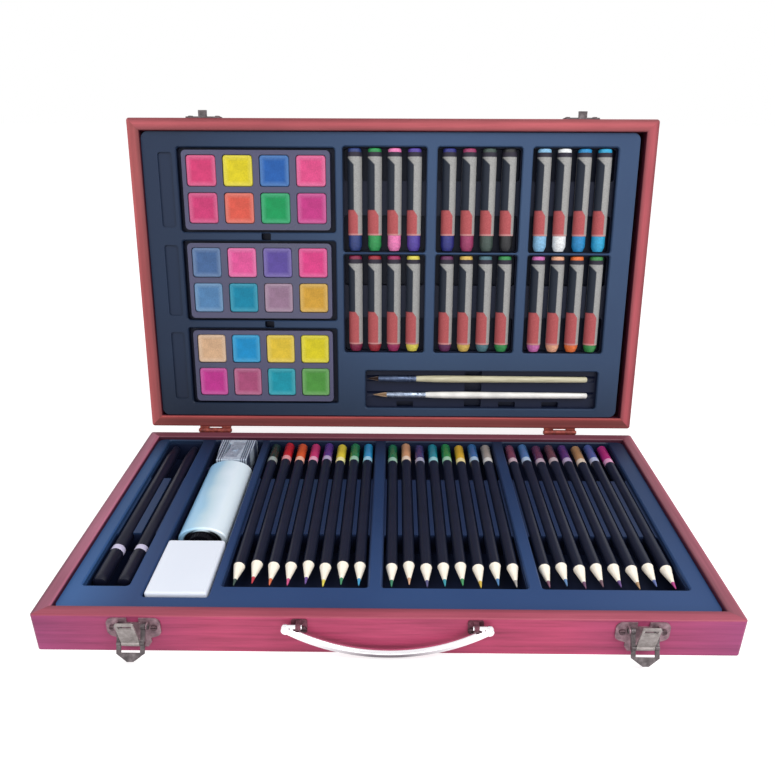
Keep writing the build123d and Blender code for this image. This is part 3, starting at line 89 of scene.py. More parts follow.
# Watercolour cakes, and their rings as distances in from the edge and down from the top
PALETTE_X = -96.39 * MM
CAKE_COLUMNS = 4
CAKE_ROWS = 2
CAKE = 21 * MM
CAKE_HEIGHT = 3.4 * MM
CAKE_TOP_Z = 20.4 * MM
CAKE_CORNER = 2.2 * MM
CAKE_CORNER_LEAST = 0.6 * MM
CAKE_CORNER_SHRINK = 0.55
CAKE_PITCH = (26 * MM, 25.3 * MM)
CAKE_SHIFT_Y = 0.6 * MM
CAKE_RINGS = [
    (0, CAKE_HEIGHT),
    (0, 0.7 * MM),
    (0.25 * MM, 0.2 * MM),
    (0.8 * MM, 0),
    (1.8 * MM, 0.05 * MM),
    (3.0 * MM, 0.35 * MM),
    (4.6 * MM, 0.5 * MM),
    (7.5 * MM, 0.45 * MM),
]

# Brushes, bristles to the left
BRUSH_AXIS_Z = 16.4 * MM
BRUSH_LOOKS = {
    "upper": {"metal": "dim_ferrule", "wood": "cream_handle", "hair": "dark_hair", "slot": "dark_bristles"},
    "lower": {"metal": "ferrule", "wood": "white_handle", "hair": "tan_hair", "slot": "tan_bristles"},
}
FERRULE_RADIUS = 2.3 * MM
FERRULE_CRIMP = 0.22 * MM
FERRULE_CRIMPS = (7.2 * MM, 4.6 * MM)
HAIR_STRANDS = 420
HAIR_MOUTH = 1.75 * MM
HAIR_THICKNESS = 0.085 * MM
HAIR_LEVELS = (0.0, 0.35, 0.7, 1.0)
HAIR_SIDES = 3
HAIR_BEND = 0.06
HAIR_LENGTHS = (0.93, 1.03)
HAIR_OUTER_SHORTER = 0.42
HAIR_THINNING = 0.75
HAIR_BELLY = 0.12
HAIR_GATHER = 0.62
HAIR_GATHER_LATE = 1.6

# Drawing pens, caps to the front
PEN_CAP_RADIUS = 4.2 * MM
PEN_RADIUS = 4.0 * MM
PEN_CAP_LENGTH = 30 * MM
PEN_RING_LENGTH = 4.5 * MM
PEN_TAPER = 18 * MM
PEN_TIP_Y = 37 * MM
PEN_LENGTH = 170 * MM
PEN_AXIS_Z = 15.2 * MM

# Places in the frames of the halves, and the brushes' lengths, all in millimetres
PENCIL_SET_X = {"left": -51.5, "middle": 36.85, "right": 125.2}
PASTEL_SET_X = {"left": -5.19, "middle": 62.01, "right": 129.2}
PASTEL_ROW_Y = {"lower": 58.6, "upper": 132.0}
PALETTE_Y = {"lower": 46.8, "middle": 110.1, "upper": 173.4}
PEN_X = {"left": -162.65, "right": -148.65}
BRUSHES = {
    "upper": {"y": 37.0, "tip_x": -17.46, "bristles": 8.0, "ferrule": 29.0, "handle": 131.0},
    "lower": {"y": 24.4, "tip_x": -13.56, "bristles": 10.5, "ferrule": 30.0, "handle": 124.5},
}

# Places where the colour of a piece changes
END_STAIN_FROM = 90 * MM
END_STAIN_TO = 185 * MM
WELL_SHADE_FROM = 0.5 * MM
WELL_SHADE_TO = 4.4 * MM
# Where painted light on each tray's flange changes from its left colour to its right
BASE_TRAY_LIGHT_CHANGE = (-168 * MM, -136 * MM)
LID_TRAY_LIGHT_CHANGE = (-150 * MM, 10 * MM)
CAKE_PALE_EDGE = 2.6 * MM
TUBE_X = -115 * MM
TUBE_AXIS_Z = 13.8 * MM
TUBE_FRONT_Y = 83.5 * MM
TUBE_END_ROUND = 0.9 * MM
TUBE_NECK_HALF_WIDTH = 12 * MM
TUBE_NECK_HALF_HEIGHT = 8 * MM
# Where the tube's painted bluish reflection gives way to its painted light
TUBE_PAINTED_LIGHT_CHANGE = (TUBE_X - 12 * MM, TUBE_X + 7 * MM)
TUBE_SWAY = 2 * MM
BAIL_SHADE_FROM = 8 * MM
BAIL_SHADE_TO = 46 * MM
SHARPENER_RIDGE = 1.6 * MM
SHARPENER_SMOOTH_HALF = 6.4 * MM

# The photograph's camera, fitted to the corners of the case
CAMERA_PLACE = (2.5 * MM, -309.8 * MM - DEPTH / 2, 274.8 * MM)
CAMERA_PITCH = math.radians(26.78)
CAMERA_YAW = math.radians(0.51)
CAMERA_ROLL = math.radians(0.17)
CAMERA_NEAR = 0.01
CAMERA_FAR = 20
IMAGE_SIZE = 775
FOCAL_PIXELS = 760.2
CENTRE_BELOW = 64.3
SENSOR = 36.0

# Light, with each lamp's place, target, size and power
SURROUND_LIGHT = 0.55
SURROUND_SEEN = 1.0
FLOOR_HALF = 4.0
FLOOR_DROP = 0.2 * MM
FLOOR_GREY = 0.6
FLOOR_ROUGHNESS = 0.8
FLOOR_GLOW = 0.7
LAMPS = {
    "key": ((0.75, -0.55, 1.15), (0, 0.03, 0.08), (0.7, 0.7), 13),
    "fill": ((-0.9, -0.9, 0.8), (0, 0, 0.08), (0.9, 0.9), 5),
    "front": ((0.1, -1.4, 0.35), (0, 0, 0.05), (1.2, 0.5), 4),
}

# Noise: most of its values lie between these two
NOISE_LOW = 0.3
NOISE_HIGH = 0.7

# Grain of the stained wood, as noise scales
ALONG_X = 0
ALONG_Y = 1
WOOD_ALONG = 14.0
WOOD_ACROSS = 330.0

# Screen colours of 0 to 255, and in a ramp the place of each
WHITE = (255, 255, 255)
GRAIN_GREY = (216, 216, 216)
WOOD_PATCH = (226, 212, 218)
# Painted shade on the rails' inner walls, below their rims
INNER_WALL_SHADE = (62, 22, 40)
TRAY_PATCH = (224, 228, 236)
# Painted shade at the bottom of the trays' wells
WELL_SHADE_COLOUR = (14, 22, 46)
CHALK_GREY = (205, 205, 205)
LABEL_GREYS = ((134, 134, 133), (162, 161, 159))
LABEL_REDS = ((154, 68, 72), (178, 86, 88))
LABEL_FOOT = (196, 148, 146)
LABEL_PANEL = (22, 30, 44)
LABEL_RING = (38, 34, 48)
# Painted reflection and light on the paint tube's foil, bluish on the left and white on the right
TUBE_FOIL_PAINTED_LIGHT = [(0.0, (152, 202, 238)), (0.3, (162, 204, 230)), (0.55, (200, 224, 236)), (1.0, (228, 242, 252))]
TUBE_NECK = (8, 8, 14)
BAIL_BRIGHT = (246, 242, 246)
BAIL_SHADE = (112, 104, 110)
CAST_METAL = ((158, 172, 190), (192, 204, 216))
# Painted shade in the sharpener's grip grooves
CAST_GROOVE_SHADE = (66, 74, 96)

# Colours of the pencils, pastels and cakes, from left to right in each set
PENCIL_COLOURS = {
    "left": [
        (28, 52, 44), (196, 28, 44), (226, 92, 44), (206, 54, 116),
        (88, 52, 138), (236, 214, 62), (38, 128, 78), (40, 150, 206),
    ],
    "middle": [
        (26, 116, 76), (214, 158, 118), (58, 54, 108), (22, 140, 160),
        (36, 138, 72), (224, 180, 44), (48, 106, 166), (162, 156, 150),
    ],
    "right": [
        (118, 62, 88), (70, 118, 176), (92, 46, 82), (98, 62, 76),
        (82, 46, 118), (176, 134, 92), (74, 92, 160), (180, 38, 122),
    ],
}
PASTEL_COLOURS = {
    ("upper", "left"): [(34, 52, 112), (34, 140, 72), (232, 122, 178), (78, 58, 150)],
    ("upper", "middle"): [(36, 40, 118), (150, 50, 94), (58, 74, 68), (22, 22, 26)],
    ("upper", "right"): [(132, 184, 220), (236, 238, 240), (28, 132, 190), (40, 160, 206)],
    ("lower", "left"): [(122, 26, 62), (150, 36, 50), (150, 38, 88), (222, 206, 84)],
    ("lower", "middle"): [(92, 36, 80), (212, 176, 88), (74, 112, 122), (48, 134, 72)],
    ("lower", "right"): [(196, 104, 168), (226, 164, 132), (226, 110, 52), (52, 130, 66)],
}
CAKE_COLOURS = {
    "upper": [(222, 66, 122), (232, 214, 36), (38, 98, 178), (232, 82, 142),
              (214, 64, 122), (230, 96, 80), (22, 158, 92), (204, 60, 138)],
    "middle": [(74, 108, 158), (236, 92, 160), (98, 80, 162), (232, 70, 142),
               (88, 136, 184), (14, 138, 172), (160, 126, 152), (220, 168, 62)],
    "lower": [(226, 184, 146), (24, 150, 210), (238, 204, 62), (232, 216, 36),
              (204, 56, 150), (182, 84, 128), (22, 158, 178), (84, 158, 68)],
}


def linear(colour):
    """A screen colour of 0 to 255 as the linear colour that a shader takes, by the usual curve."""
    out = []
    for value in colour:
        share = value / 255
        out.append(share / 12.92 if share <= 0.04045 else ((share + 0.055) / 1.055) ** 2.4)
    return (*out, 1.0)


def paler(colour, share):
    """A colour mixed towards white."""
    return tuple(value + (255 - value) * share for value in colour)


def dimmed(colour, level):
    """A colour at another level, darker under 1 and lighter over it."""
    return tuple(min(255, value * level) for value in colour)


def shades(colour, low, high):
    """Three stops of one colour, from darker to lighter."""
    return [(0.28, dimmed(colour, low)), (0.5, colour), (0.74, dimmed(colour, high))]


class Shader:
    """A material's nodes, with short calls for those that the materials below share."""

    def __init__(self, name, roughness, metallic=0.0, specular=0.5):
        self.material = bpy.data.materials.new(name)
        self.material.use_nodes = True
        self.tree = self.material.node_tree
        self.bsdf = self.tree.nodes["Principled BSDF"]
        self.bsdf.inputs["Roughness"].default_value = roughness
        self.bsdf.inputs["Metallic"].default_value = metallic
        self.bsdf.inputs["Specular IOR Level"].default_value = specular

    def node(self, kind, **values):
        """A new node, with values for its sockets or its settings."""
        made = self.tree.nodes.new(kind)
        for key, value in values.items():
            if key in made.inputs:
                made.inputs[key].default_value = value
            else:
                setattr(made, key, value)
        return made

    def link(self, start, end):
        self.tree.links.new(start, end)

    def feed(self, socket, value):
        """Links a socket to another node's output, or sets it."""
        if isinstance(value, bpy.types.NodeSocket):
            self.link(value, socket)
        else:
            socket.default_value = value

    def place(self, scale=(1, 1, 1)):
        """The piece's own coordinates, scaled."""
        source = self.node("ShaderNodeTexCoord")
        mapping = self.node("ShaderNodeMapping", Scale=scale)
        self.link(source.outputs["Object"], mapping.inputs["Vector"])
        return mapping.outputs["Vector"]

    def split(self, vector):
        """A vector's x, y and z."""
        parts = self.node("ShaderNodeSeparateXYZ")
        self.link(vector, parts.inputs[0])
        return parts.outputs["X"], parts.outputs["Y"], parts.outputs["Z"]

    def local(self, matrix):
        """A point's x, y and z in metres, in the frame that a matrix places."""
        back = matrix.inverted()
        source = self.node("ShaderNodeTexCoord")
        mapping = self.node("ShaderNodeMapping", Location=back.to_translation(), Rotation=back.to_euler())
        self.link(source.outputs["Object"], mapping.inputs["Vector"])
        return self.split(mapping.outputs["Vector"])

    def facing(self):
        """The x, y and z of the direction that the surface faces."""
        return self.split(self.node("ShaderNodeTexCoord").outputs["Normal"])

    def noise(self, vector, scale, detail=3.0, roughness=0.5):
        made = self.node("ShaderNodeTexNoise", Scale=scale, Detail=detail, Roughness=roughness)
        self.link(vector, made.inputs["Vector"])
        return made.outputs["Fac"]

    def ramp(self, value, stops):
        """A colour ramp, from stops of place and colour."""
        made = self.node("ShaderNodeValToRGB")
        elements = made.color_ramp.elements
        while len(elements) < len(stops):
            elements.new(0.5)
        for element, (place, colour) in zip(elements, stops):
            element.position = place
            element.color = linear(colour)
        self.link(value, made.inputs["Fac"])
        return made.outputs["Color"]

    def mottle(self, noise, dark, light):
        """Two colours, where a noise is low and where it is high."""
        return self.ramp(noise, [(NOISE_LOW, dark), (NOISE_HIGH, light)])

    def mix(self, share, first, second, blend="MIX"):
        made = self.tree.nodes.new("ShaderNodeMix")
        made.data_type = "RGBA"
        made.blend_type = blend
        for key, value in (("Factor", share), ("A", first), ("B", second)):
            self.feed(made.inputs[key], value)
        return made.outputs["Result"]

    def tint(self, base, tint, share=1.0):
        """A colour multiplied by another."""
        return self.mix(share, base, tint, "MULTIPLY")

    def math(self, operation, first, second=0.0):
        made = self.node("ShaderNodeMath", operation=operation)
        self.feed(made.inputs[0], first)
        self.feed(made.inputs[1], second)
        return made.outputs["Value"]

    def remap(self, value, low, high, to_low, to_high):
        """A value between two limits, carried over to between two others."""
        made = self.node("ShaderNodeMapRange")
        for key, limit in (("From Min", low), ("From Max", high), ("To Min", to_low), ("To Max", to_high)):
            made.inputs[key].default_value = limit
        self.link(value, made.inputs["Value"])
        return made.outputs["Result"]

    def above(self, value, limit, soft):
        """1 where a value is over a limit, 0 where it is under, with a soft step between."""
        return self.remap(value, limit - soft, limit + soft, 0.0, 1.0)

    def below(self, value, limit, soft):
        """1 where a value is under a limit, 0 where it is over, with a soft step between."""
        return self.remap(value, limit - soft, limit + soft, 1.0, 0.0)

    def both(self, *shares):
        """The product of several shares."""
        product = shares[0]
        for share in shares[1:]:
            product = self.math("MULTIPLY", product, share)
        return product

    def away(self, value, centre):
        """How far a value is from a centre, either way."""
        return self.math("ABSOLUTE", self.math("SUBTRACT", value, centre))

    def offset(self, value, centre, size):
        """How far a value is from a centre, as a share of a size."""
        return self.math("DIVIDE", self.math("SUBTRACT", value, centre), size)

    def colour(self, value):
        self.feed(self.bsdf.inputs["Base Color"], value)

    def roughness(self, value):
        self.feed(self.bsdf.inputs["Roughness"], value)

    def bump(self, height, distance, strength):
        made = self.node("ShaderNodeBump", Strength=strength, Distance=distance)
        self.link(height, made.inputs["Height"])
        self.link(made.outputs["Normal"], self.bsdf.inputs["Normal"])


def lid_matrix():
    """From the lid's own frame, cavity up and hinge edge at y = 0, to its open place."""
    pin = Vector((0, DEPTH + PIN_OUT, HALF_HEIGHT + RIM_GAP / 2))
    over = Matrix.Translation((0, DEPTH, 2 * HALF_HEIGHT + RIM_GAP)) @ Matrix.Rotation(math.pi, 4, "X")
    swing = Matrix.Translation(pin) @ Matrix.Rotation(-OPEN_ANGLE, 4, "X") @ Matrix.Translation(-pin)
    return BASE @ swing @ over


BASE = Matrix.Translation((0, -DEPTH / 2, 0))
LID = lid_matrix()


def stained_wood(name, face, rim, along, place, outer, rim_light_strips, end=None, inside=0.9):
    """Stained wood: grain along one axis, a rim with painted highlights and shade in strips, darker rail ends
    and painted shade on the inner walls.
    """
    shader = Shader(name, roughness=0.45, specular=0.3)
    x, y, z = shader.local(place)
    scale = [WOOD_ACROSS] * 3
    scale[along] = WOOD_ALONG
    stretch = shader.node("ShaderNodeCombineXYZ")
    for socket, value, factor in zip(stretch.inputs, (x, y, z), scale):
        shader.link(shader.math("MULTIPLY", value, factor), socket)
    grain = shader.noise(stretch.outputs["Vector"], scale=1.0, detail=6.0, roughness=0.62)
    cloud = shader.noise(shader.place(), scale=14.0, detail=2.0)
    face_colour = shader.ramp(grain, shades(face, 0.8, 1.14))
    if end:
        share = shader.remap(shader.math("ABSOLUTE", x), END_STAIN_FROM, END_STAIN_TO, 0.0, 0.85)
        face_colour = shader.mix(share, face_colour, shader.ramp(grain, shades(end, 0.86, 1.1)))
    across = shader.away(y if along == ALONG_X else x, outer)
    across_rim = shader.remap(across, 0.0, RAIL, 0.0, 1.0)
    # Painted highlights and shade across the rim, in strips from the outside in
    rim_colour = shader.ramp(across_rim, [(at, dimmed(rim, level)) for at, level in rim_light_strips])
    rim_colour = shader.tint(rim_colour, shader.ramp(grain, shades(GRAIN_GREY, 0.84, 1.18)), share=0.6)
    is_rim = shader.above(z, HALF_HEIGHT - RIM_DEPTH, soft=0.35 * MM)
    # Painted shade: the rail's inner wall goes dark below its rim
    inner_wall_shade = shader.above(across, RAIL - 0.5 * MM, soft=0.3 * MM)
    face_colour = shader.mix(shader.both(inner_wall_shade, inside), face_colour, linear(INNER_WALL_SHADE))
    base = shader.mix(is_rim, face_colour, rim_colour)
    shader.colour(shader.tint(base, shader.mottle(cloud, WOOD_PATCH, WHITE), share=0.75))
    shader.roughness(shader.remap(grain, NOISE_LOW, 0.8, 0.52, 0.38))
    shader.bump(grain, distance=0.15 * MM, strength=0.5)
    return shader.material


def tray_sheet(name, left, right, change, painted_levels, place):
    """Moulded sheet with painted light and shade: the flange lighter or darker from left to right and along
    its depth, and painted shade that darkens the wells.
    """
    shader = Shader(name, roughness=0.46, specular=0.22)
    x, y, z = shader.local(place)
    flow = shader.noise(shader.place(), scale=9.0)
    fine = shader.noise(shader.place(), scale=900.0, detail=2.0)
    # Painted light and shade: the flange lighter or darker from left to right and along the half's depth
    share = shader.remap(x, *change, 0.0, 1.0)
    level = shader.ramp(shader.remap(y, 0.0, DEPTH, 0.0, 1.0), [(at, (grey,) * 3) for at, grey in painted_levels])
    top = shader.tint(shader.mix(share, linear(left), linear(right)), level)
    top = shader.tint(top, shader.mottle(flow, TRAY_PATCH, WHITE))
    # Painted shade: the wells go dark with depth below the flange
    well_shade = shader.remap(z, FLANGE_Z - WELL_SHADE_TO, FLANGE_Z - WELL_SHADE_FROM, 1.0, 0.0)
    shader.colour(shader.mix(well_shade, top, linear(WELL_SHADE_COLOUR)))
    shader.roughness(shader.remap(flow, NOISE_LOW, NOISE_HIGH, 0.42, 0.54))
    shader.bump(fine, distance=0.03 * MM, strength=0.6)
    return shader.material


def moulded_plastic(name, dark, light, roughness, grain=900.0):
    """Moulded plastic or rubber: a soft sheen, with faint flow marks."""
    shader = Shader(name, roughness=roughness, specular=0.45)
    vector = shader.place()
    flow = shader.noise(vector, scale=12.0)
    fine = shader.noise(vector, scale=grain, detail=2.0)
    shader.colour(shader.ramp(flow, [(NOISE_LOW, dark), (0.75, light)]))
    shader.roughness(shader.remap(flow, NOISE_LOW, NOISE_HIGH, roughness - 0.05, roughness + 0.1))
    shader.bump(fine, distance=0.03 * MM, strength=0.6)
    return shader.material


def aged_metal(name, dark, middle, light, roughness, metallic):
    """Plated metal with darker patches and brighter rubbed places, at random."""
    shader = Shader(name, roughness=roughness, metallic=metallic)
    vector = shader.place()
    patches = shader.noise(vector, scale=320.0, detail=4.0, roughness=0.6)
    fine = shader.noise(vector, scale=1800.0, detail=2.0)
    shader.colour(shader.ramp(patches, [(NOISE_LOW, dark), (0.52, middle), (0.72, light)]))
    shader.roughness(shader.remap(fine, NOISE_LOW, NOISE_HIGH, roughness - 0.1, roughness + 0.14))
    shader.bump(fine, distance=0.05 * MM, strength=0.5)
    return shader.material


def lacquer(name, colour, roughness=0.22, coat=0.4, specular=0.5):
    """Smooth sprayed lacquer with a faint unevenness."""
    shader = Shader(name, roughness=roughness, specular=specular)
    shader.bsdf.inputs["Coat Weight"].default_value = coat
    cloud = shader.noise(shader.place(), scale=90.0, detail=2.0)
    shader.colour(shader.mottle(cloud, dimmed(colour, 0.88), colour))
    shader.bump(cloud, distance=0.04 * MM, strength=0.4)
    return shader.material


def raw_wood(name, dark, light):
    """Bare sharpened or clear-lacquered wood with grain along the piece."""
    shader = Shader(name, roughness=0.55)
    grain = shader.noise(shader.place(scale=(900, 60, 900)), scale=1.0, detail=4.0, roughness=0.6)
    shader.colour(shader.mottle(grain, dark, light))
    shader.bump(grain, distance=0.06 * MM, strength=0.5)
    return shader.material


def waxy(name, colour):
    """Oil pastel, coloured lead or hair: soft sheen and small scuffs."""
    shader = Shader(name, roughness=0.48)
    scuff = shader.noise(shader.place(), scale=700.0, detail=4.0, roughness=0.65)
    stops = [(0.25, dimmed(colour, 0.8)), (0.6, colour), (0.85, paler(colour, 0.2))]
    shader.colour(shader.ramp(scuff, stops))
    shader.bump(scuff, distance=0.08 * MM, strength=0.6)
    return shader.material


def pressed_paint(name, colour):
    """A dry watercolour cake: matt, finely grained, paler at its edges and chalky at its raised places."""
    shader = Shader(name, roughness=0.72, specular=0.3)
    vector = shader.place()
    powder = shader.noise(vector, scale=1400.0, detail=5.0, roughness=0.7)
    cloud = shader.noise(vector, scale=120.0, detail=2.0)
    base = shader.mottle(cloud, dimmed(colour, 0.9), colour)
    x, y, _ = shader.local(Matrix())
    reach = shader.math("MAXIMUM", shader.math("ABSOLUTE", x), shader.math("ABSOLUTE", y))
    edge = shader.above(reach, CAKE / 2 - CAKE_PALE_EDGE, soft=1.4 * MM)
    base = shader.mix(shader.both(edge, 0.75), base, linear(dimmed(paler(colour, 0.26), 0.96)))
    chalk = shader.ramp(powder, [(0.35, CHALK_GREY), (NOISE_HIGH, WHITE)])
    shader.colour(shader.tint(base, chalk, share=0.8))
    shader.bump(powder, distance=0.12 * MM, strength=0.7)
    return shader.material


def paper(name, row):
    """A pastel's printed label: grey, with a dark panel, a dark ring at its top and a red band at its end."""
    shader = Shader(name, roughness=0.62, specular=0.3)
    x, y, z = shader.local(Matrix())
    fibre = shader.noise(shader.place(), scale=1100.0, detail=5.0, roughness=0.6)
    front = shader.above(z, 0.0, soft=0.5 * MM)
    band_top = WRAPPER_START[row] + WRAPPER_BAND[row]
    panel = shader.both(
        front,
        shader.below(x, PANEL_EDGE, soft=0.25 * MM),
        shader.above(y, band_top - PANEL_IN_BAND, soft=0.3 * MM),
        shader.below(shader.math("ADD", y, x), WRAPPER_END - PANEL_BELOW_TOP, soft=0.5 * MM),
    )
    slant = shader.math("MULTIPLY", shader.math("MAXIMUM", x, 0.0), WRAPPER_BAND_SLOPE)
    band = shader.both(
        front,
        shader.below(x, WRAPPER_BAND_EDGE, soft=0.4 * MM),
        shader.below(shader.math("ADD", y, slant), band_top, soft=0.3 * MM),
    )
    foot = shader.both(front, shader.below(y, WRAPPER_START[row] + WRAPPER_FOOT, soft=0.2 * MM), 0.6)
    ring = shader.above(y, WRAPPER_END - WRAPPER_RING, soft=0.2 * MM)
    colour = shader.mix(panel, shader.mottle(fibre, *LABEL_GREYS), linear(LABEL_PANEL))
    colour = shader.mix(band, colour, shader.mottle(fibre, *LABEL_REDS))
    colour = shader.mix(foot, colour, linear(LABEL_FOOT))
    shader.colour(shader.mix(ring, colour, linear(LABEL_RING)))
    shader.bump(fibre, distance=0.04 * MM, strength=0.5)
    return shader.material


def tube_metal(name):
    """The paint tube's bare foil with painted reflection and light: bluish on its left, reflecting the tray,
    and white on its right, with a black neck in front.
    """
    shader = Shader(name, roughness=0.36, metallic=0.1, specular=0.4)
    x, y, z = shader.local(BASE)
    cloud = shader.noise(shader.place(), scale=40.0)
    sway = shader.math("ADD", x, shader.remap(cloud, NOISE_LOW, NOISE_HIGH, -TUBE_SWAY, TUBE_SWAY))
    # Painted reflection and light across the foil, from left to right
    foil = shader.ramp(shader.remap(sway, *TUBE_PAINTED_LIGHT_CHANGE, 0.0, 1.0), TUBE_FOIL_PAINTED_LIGHT)
    aside = shader.offset(x, TUBE_X, TUBE_NECK_HALF_WIDTH)
    rise = shader.offset(z, TUBE_AXIS_Z, TUBE_NECK_HALF_HEIGHT)
    out = shader.math("ADD", shader.math("MULTIPLY", aside, aside), shader.math("MULTIPLY", rise, rise))
    end = shader.below(y, TUBE_FRONT_Y + TUBE_END_ROUND, soft=0.25 * MM)
    neck = shader.both(end, shader.below(out, 1.0, soft=0.08))
    shader.colour(shader.mix(neck, foil, linear(TUBE_NECK)))
    shader.bump(cloud, distance=0.1 * MM, strength=0.4)
    return shader.material


def bright_bail(name):
    """The handle's polished bar, shaded on the underside of its middle."""
    shader = Shader(name, roughness=0.14, metallic=1.0)
    x, _, _ = shader.local(BASE)
    _, _, upward = shader.facing()
    under = shader.below(upward, 0.45, soft=0.3)
    middle = shader.remap(shader.math("ABSOLUTE", x), BAIL_SHADE_FROM, BAIL_SHADE_TO, 1.0, 0.0)
    shader.colour(shader.mix(shader.both(under, middle), linear(BAIL_BRIGHT), linear(BAIL_SHADE)))
    return shader.material


def ribbed_metal(name):
    """The sharpener's cast body, with painted shade in stripes for the grip grooves at its sides."""
    shader = Shader(name, roughness=0.42, metallic=0.15)
    x, _, _ = shader.local(BASE)
    grain = shader.noise(shader.place(), scale=500.0)
    wave = shader.math("SINE", shader.math("MULTIPLY", x, 2 * math.pi / SHARPENER_RIDGE))
    sides = shader.above(shader.away(x, TUBE_X), SHARPENER_SMOOTH_HALF, soft=0.3 * MM)
    # Painted shade: dark stripes for the grooves between the grip ridges
    groove_shade = shader.both(shader.above(wave, 0.1, soft=0.5), sides)
    shader.colour(shader.mix(groove_shade, shader.mottle(grain, *CAST_METAL), linear(CAST_GROOVE_SHADE)))
    shader.bump(grain, distance=0.06 * MM, strength=0.5)
    return shader.material


# Painted highlights and shade on each rail's rim, from the case's outside to its inside
DARK_OUTSIDE = [(0.05, 0.72), (0.3, 1.0), (0.75, 1.02), (0.95, 1.16)]
DARK_OUTSIDE_SOFT = [(0.1, 1.0), (0.5, 0.98), (0.9, 0.8)]
DARK_INSIDE = [(0.08, 1.14), (0.35, 1.0), (0.6, 0.98), (0.95, 0.78)]
PALE_MIDDLE = [(0.08, 0.84), (0.4, 1.14), (0.6, 1.12), (0.92, 0.84)]
PALE_INSIDE = [(0.1, 0.96), (0.45, 0.84), (0.7, 0.92), (0.95, 1.34)]
PLAIN = [(0.0, 1.0), (1.0, 1.0)]

# Painted light and shade on each tray along the depth of its half, from 0 to 255
BASE_PAINTED_LEVELS = [(0.1, 255), (0.45, 216), (0.8, 196), (0.97, 122)]
LID_PAINTED_LEVELS = [(0.06, 190), (0.25, 232), (0.9, 255)]

# Each material's maker and what it is given
LOOKS = {
    # The rails share one stained wood. Each rail's own face and rim colours carry painted light and shade,
    # and the base's back rail is darkest, as painted shade under the open lid
    "front_wood": (
        stained_wood, (178, 70, 104), (182, 86, 106), ALONG_X, BASE, 0, DARK_OUTSIDE_SOFT, (150, 68, 116),
    ),
    "back_wood": (stained_wood, (96, 40, 54), (124, 68, 82), ALONG_X, BASE, DEPTH, PLAIN),
    "left_wood": (stained_wood, (150, 62, 84), (170, 102, 124), ALONG_Y, BASE, -CASE_HALF, DARK_OUTSIDE),
    "right_wood": (stained_wood, (150, 64, 88), (156, 84, 100), ALONG_Y, BASE, CASE_HALF, DARK_INSIDE),
    "lid_hinge_wood": (stained_wood, (132, 52, 60), (140, 62, 60), ALONG_X, LID, 0, PALE_INSIDE),
    "lid_front_wood": (stained_wood, (166, 62, 84), (170, 82, 88), ALONG_X, LID, DEPTH, PALE_MIDDLE),
    "lid_left_wood": (stained_wood, (152, 62, 68), (172, 84, 86), ALONG_Y, LID, -CASE_HALF, DARK_INSIDE),
    "lid_right_wood": (stained_wood, (152, 62, 70), (172, 80, 88), ALONG_Y, LID, CASE_HALF, PALE_MIDDLE),
    "board": (stained_wood, (148, 56, 78), (148, 56, 78), ALONG_X, BASE, 0, PLAIN, None, 0.0),
    "lid_board": (stained_wood, (152, 56, 76), (152, 56, 76), ALONG_X, LID, 0, PLAIN, None, 0.0),
    "tray": (tray_sheet, (61, 100, 152), (44, 70, 114), BASE_TRAY_LIGHT_CHANGE, BASE_PAINTED_LEVELS, BASE),
    "lid_tray": (tray_sheet, (31, 47, 72), (56, 78, 110), LID_TRAY_LIGHT_CHANGE, LID_PAINTED_LEVELS, LID),
    "hinge": (aged_metal, (84, 34, 30), (126, 54, 46), (156, 82, 66), 0.5, 0.5),
    "plate": (aged_metal, (104, 82, 90), (138, 110, 118), (162, 134, 142), 0.45, 0.5),
    "bronze": (aged_metal, (62, 56, 58), (88, 80, 82), (116, 108, 110), 0.46, 0.5),
    "link": (aged_metal, (124, 116, 114), (150, 142, 140), (172, 164, 162), 0.42, 0.5),
    "screws": (aged_metal, (66, 48, 52), (92, 70, 76), (120, 96, 102), 0.5, 0.5),
    "lug": (aged_metal, (70, 34, 46), (98, 50, 64), (122, 66, 82), 0.5, 0.4),
    "steel": (aged_metal, (136, 148, 164), (160, 172, 188), (184, 194, 208), 0.34, 0.3),
    # A darker copy of the ferrule metal, as painted shade on the upper brush's ferrule
    "dim_ferrule": (aged_metal, (60, 74, 100), (78, 92, 120), (96, 110, 138), 0.35, 0.6),
    "ferrule": (aged_metal, (118, 130, 152), (146, 158, 178), (172, 182, 200), 0.3, 0.7),
    "bail": (bright_bail,),
    "tube": (tube_metal,),
    "sharpener": (ribbed_metal,),
    "black_lacquer": (lacquer, (22, 27, 46), 0.36, 0.05, 0.2),
    "pen_black": (lacquer, (18, 20, 38), 0.38, 0.05, 0.2),
    "pen_ring": (lacquer, (204, 198, 226), 0.3),
    "black_cap": (lacquer, (8, 8, 16), 0.5, 0.0, 0.1),
    "white_handle": (lacquer, (236, 234, 230), 0.25),
    "cream_handle": (raw_wood, (172, 166, 136), (208, 202, 174)),
    "pencil_wood": (raw_wood, (244, 232, 212), (253, 248, 238)),
    "lower_wrapper": (paper, "lower"),
    "upper_wrapper": (paper, "upper"),
    "palette": (moulded_plastic, (52, 53, 82), (70, 68, 100), 0.3),
    "eraser": (moulded_plastic, (222, 228, 240), (230, 235, 245), 0.55, 300.0),
    "dark_hair": (waxy, (58, 40, 34)),
    "tan_hair": (waxy, (172, 142, 112)),
}
MATERIALS = {name: maker(name, *given) for name, (maker, *given) in LOOKS.items()}

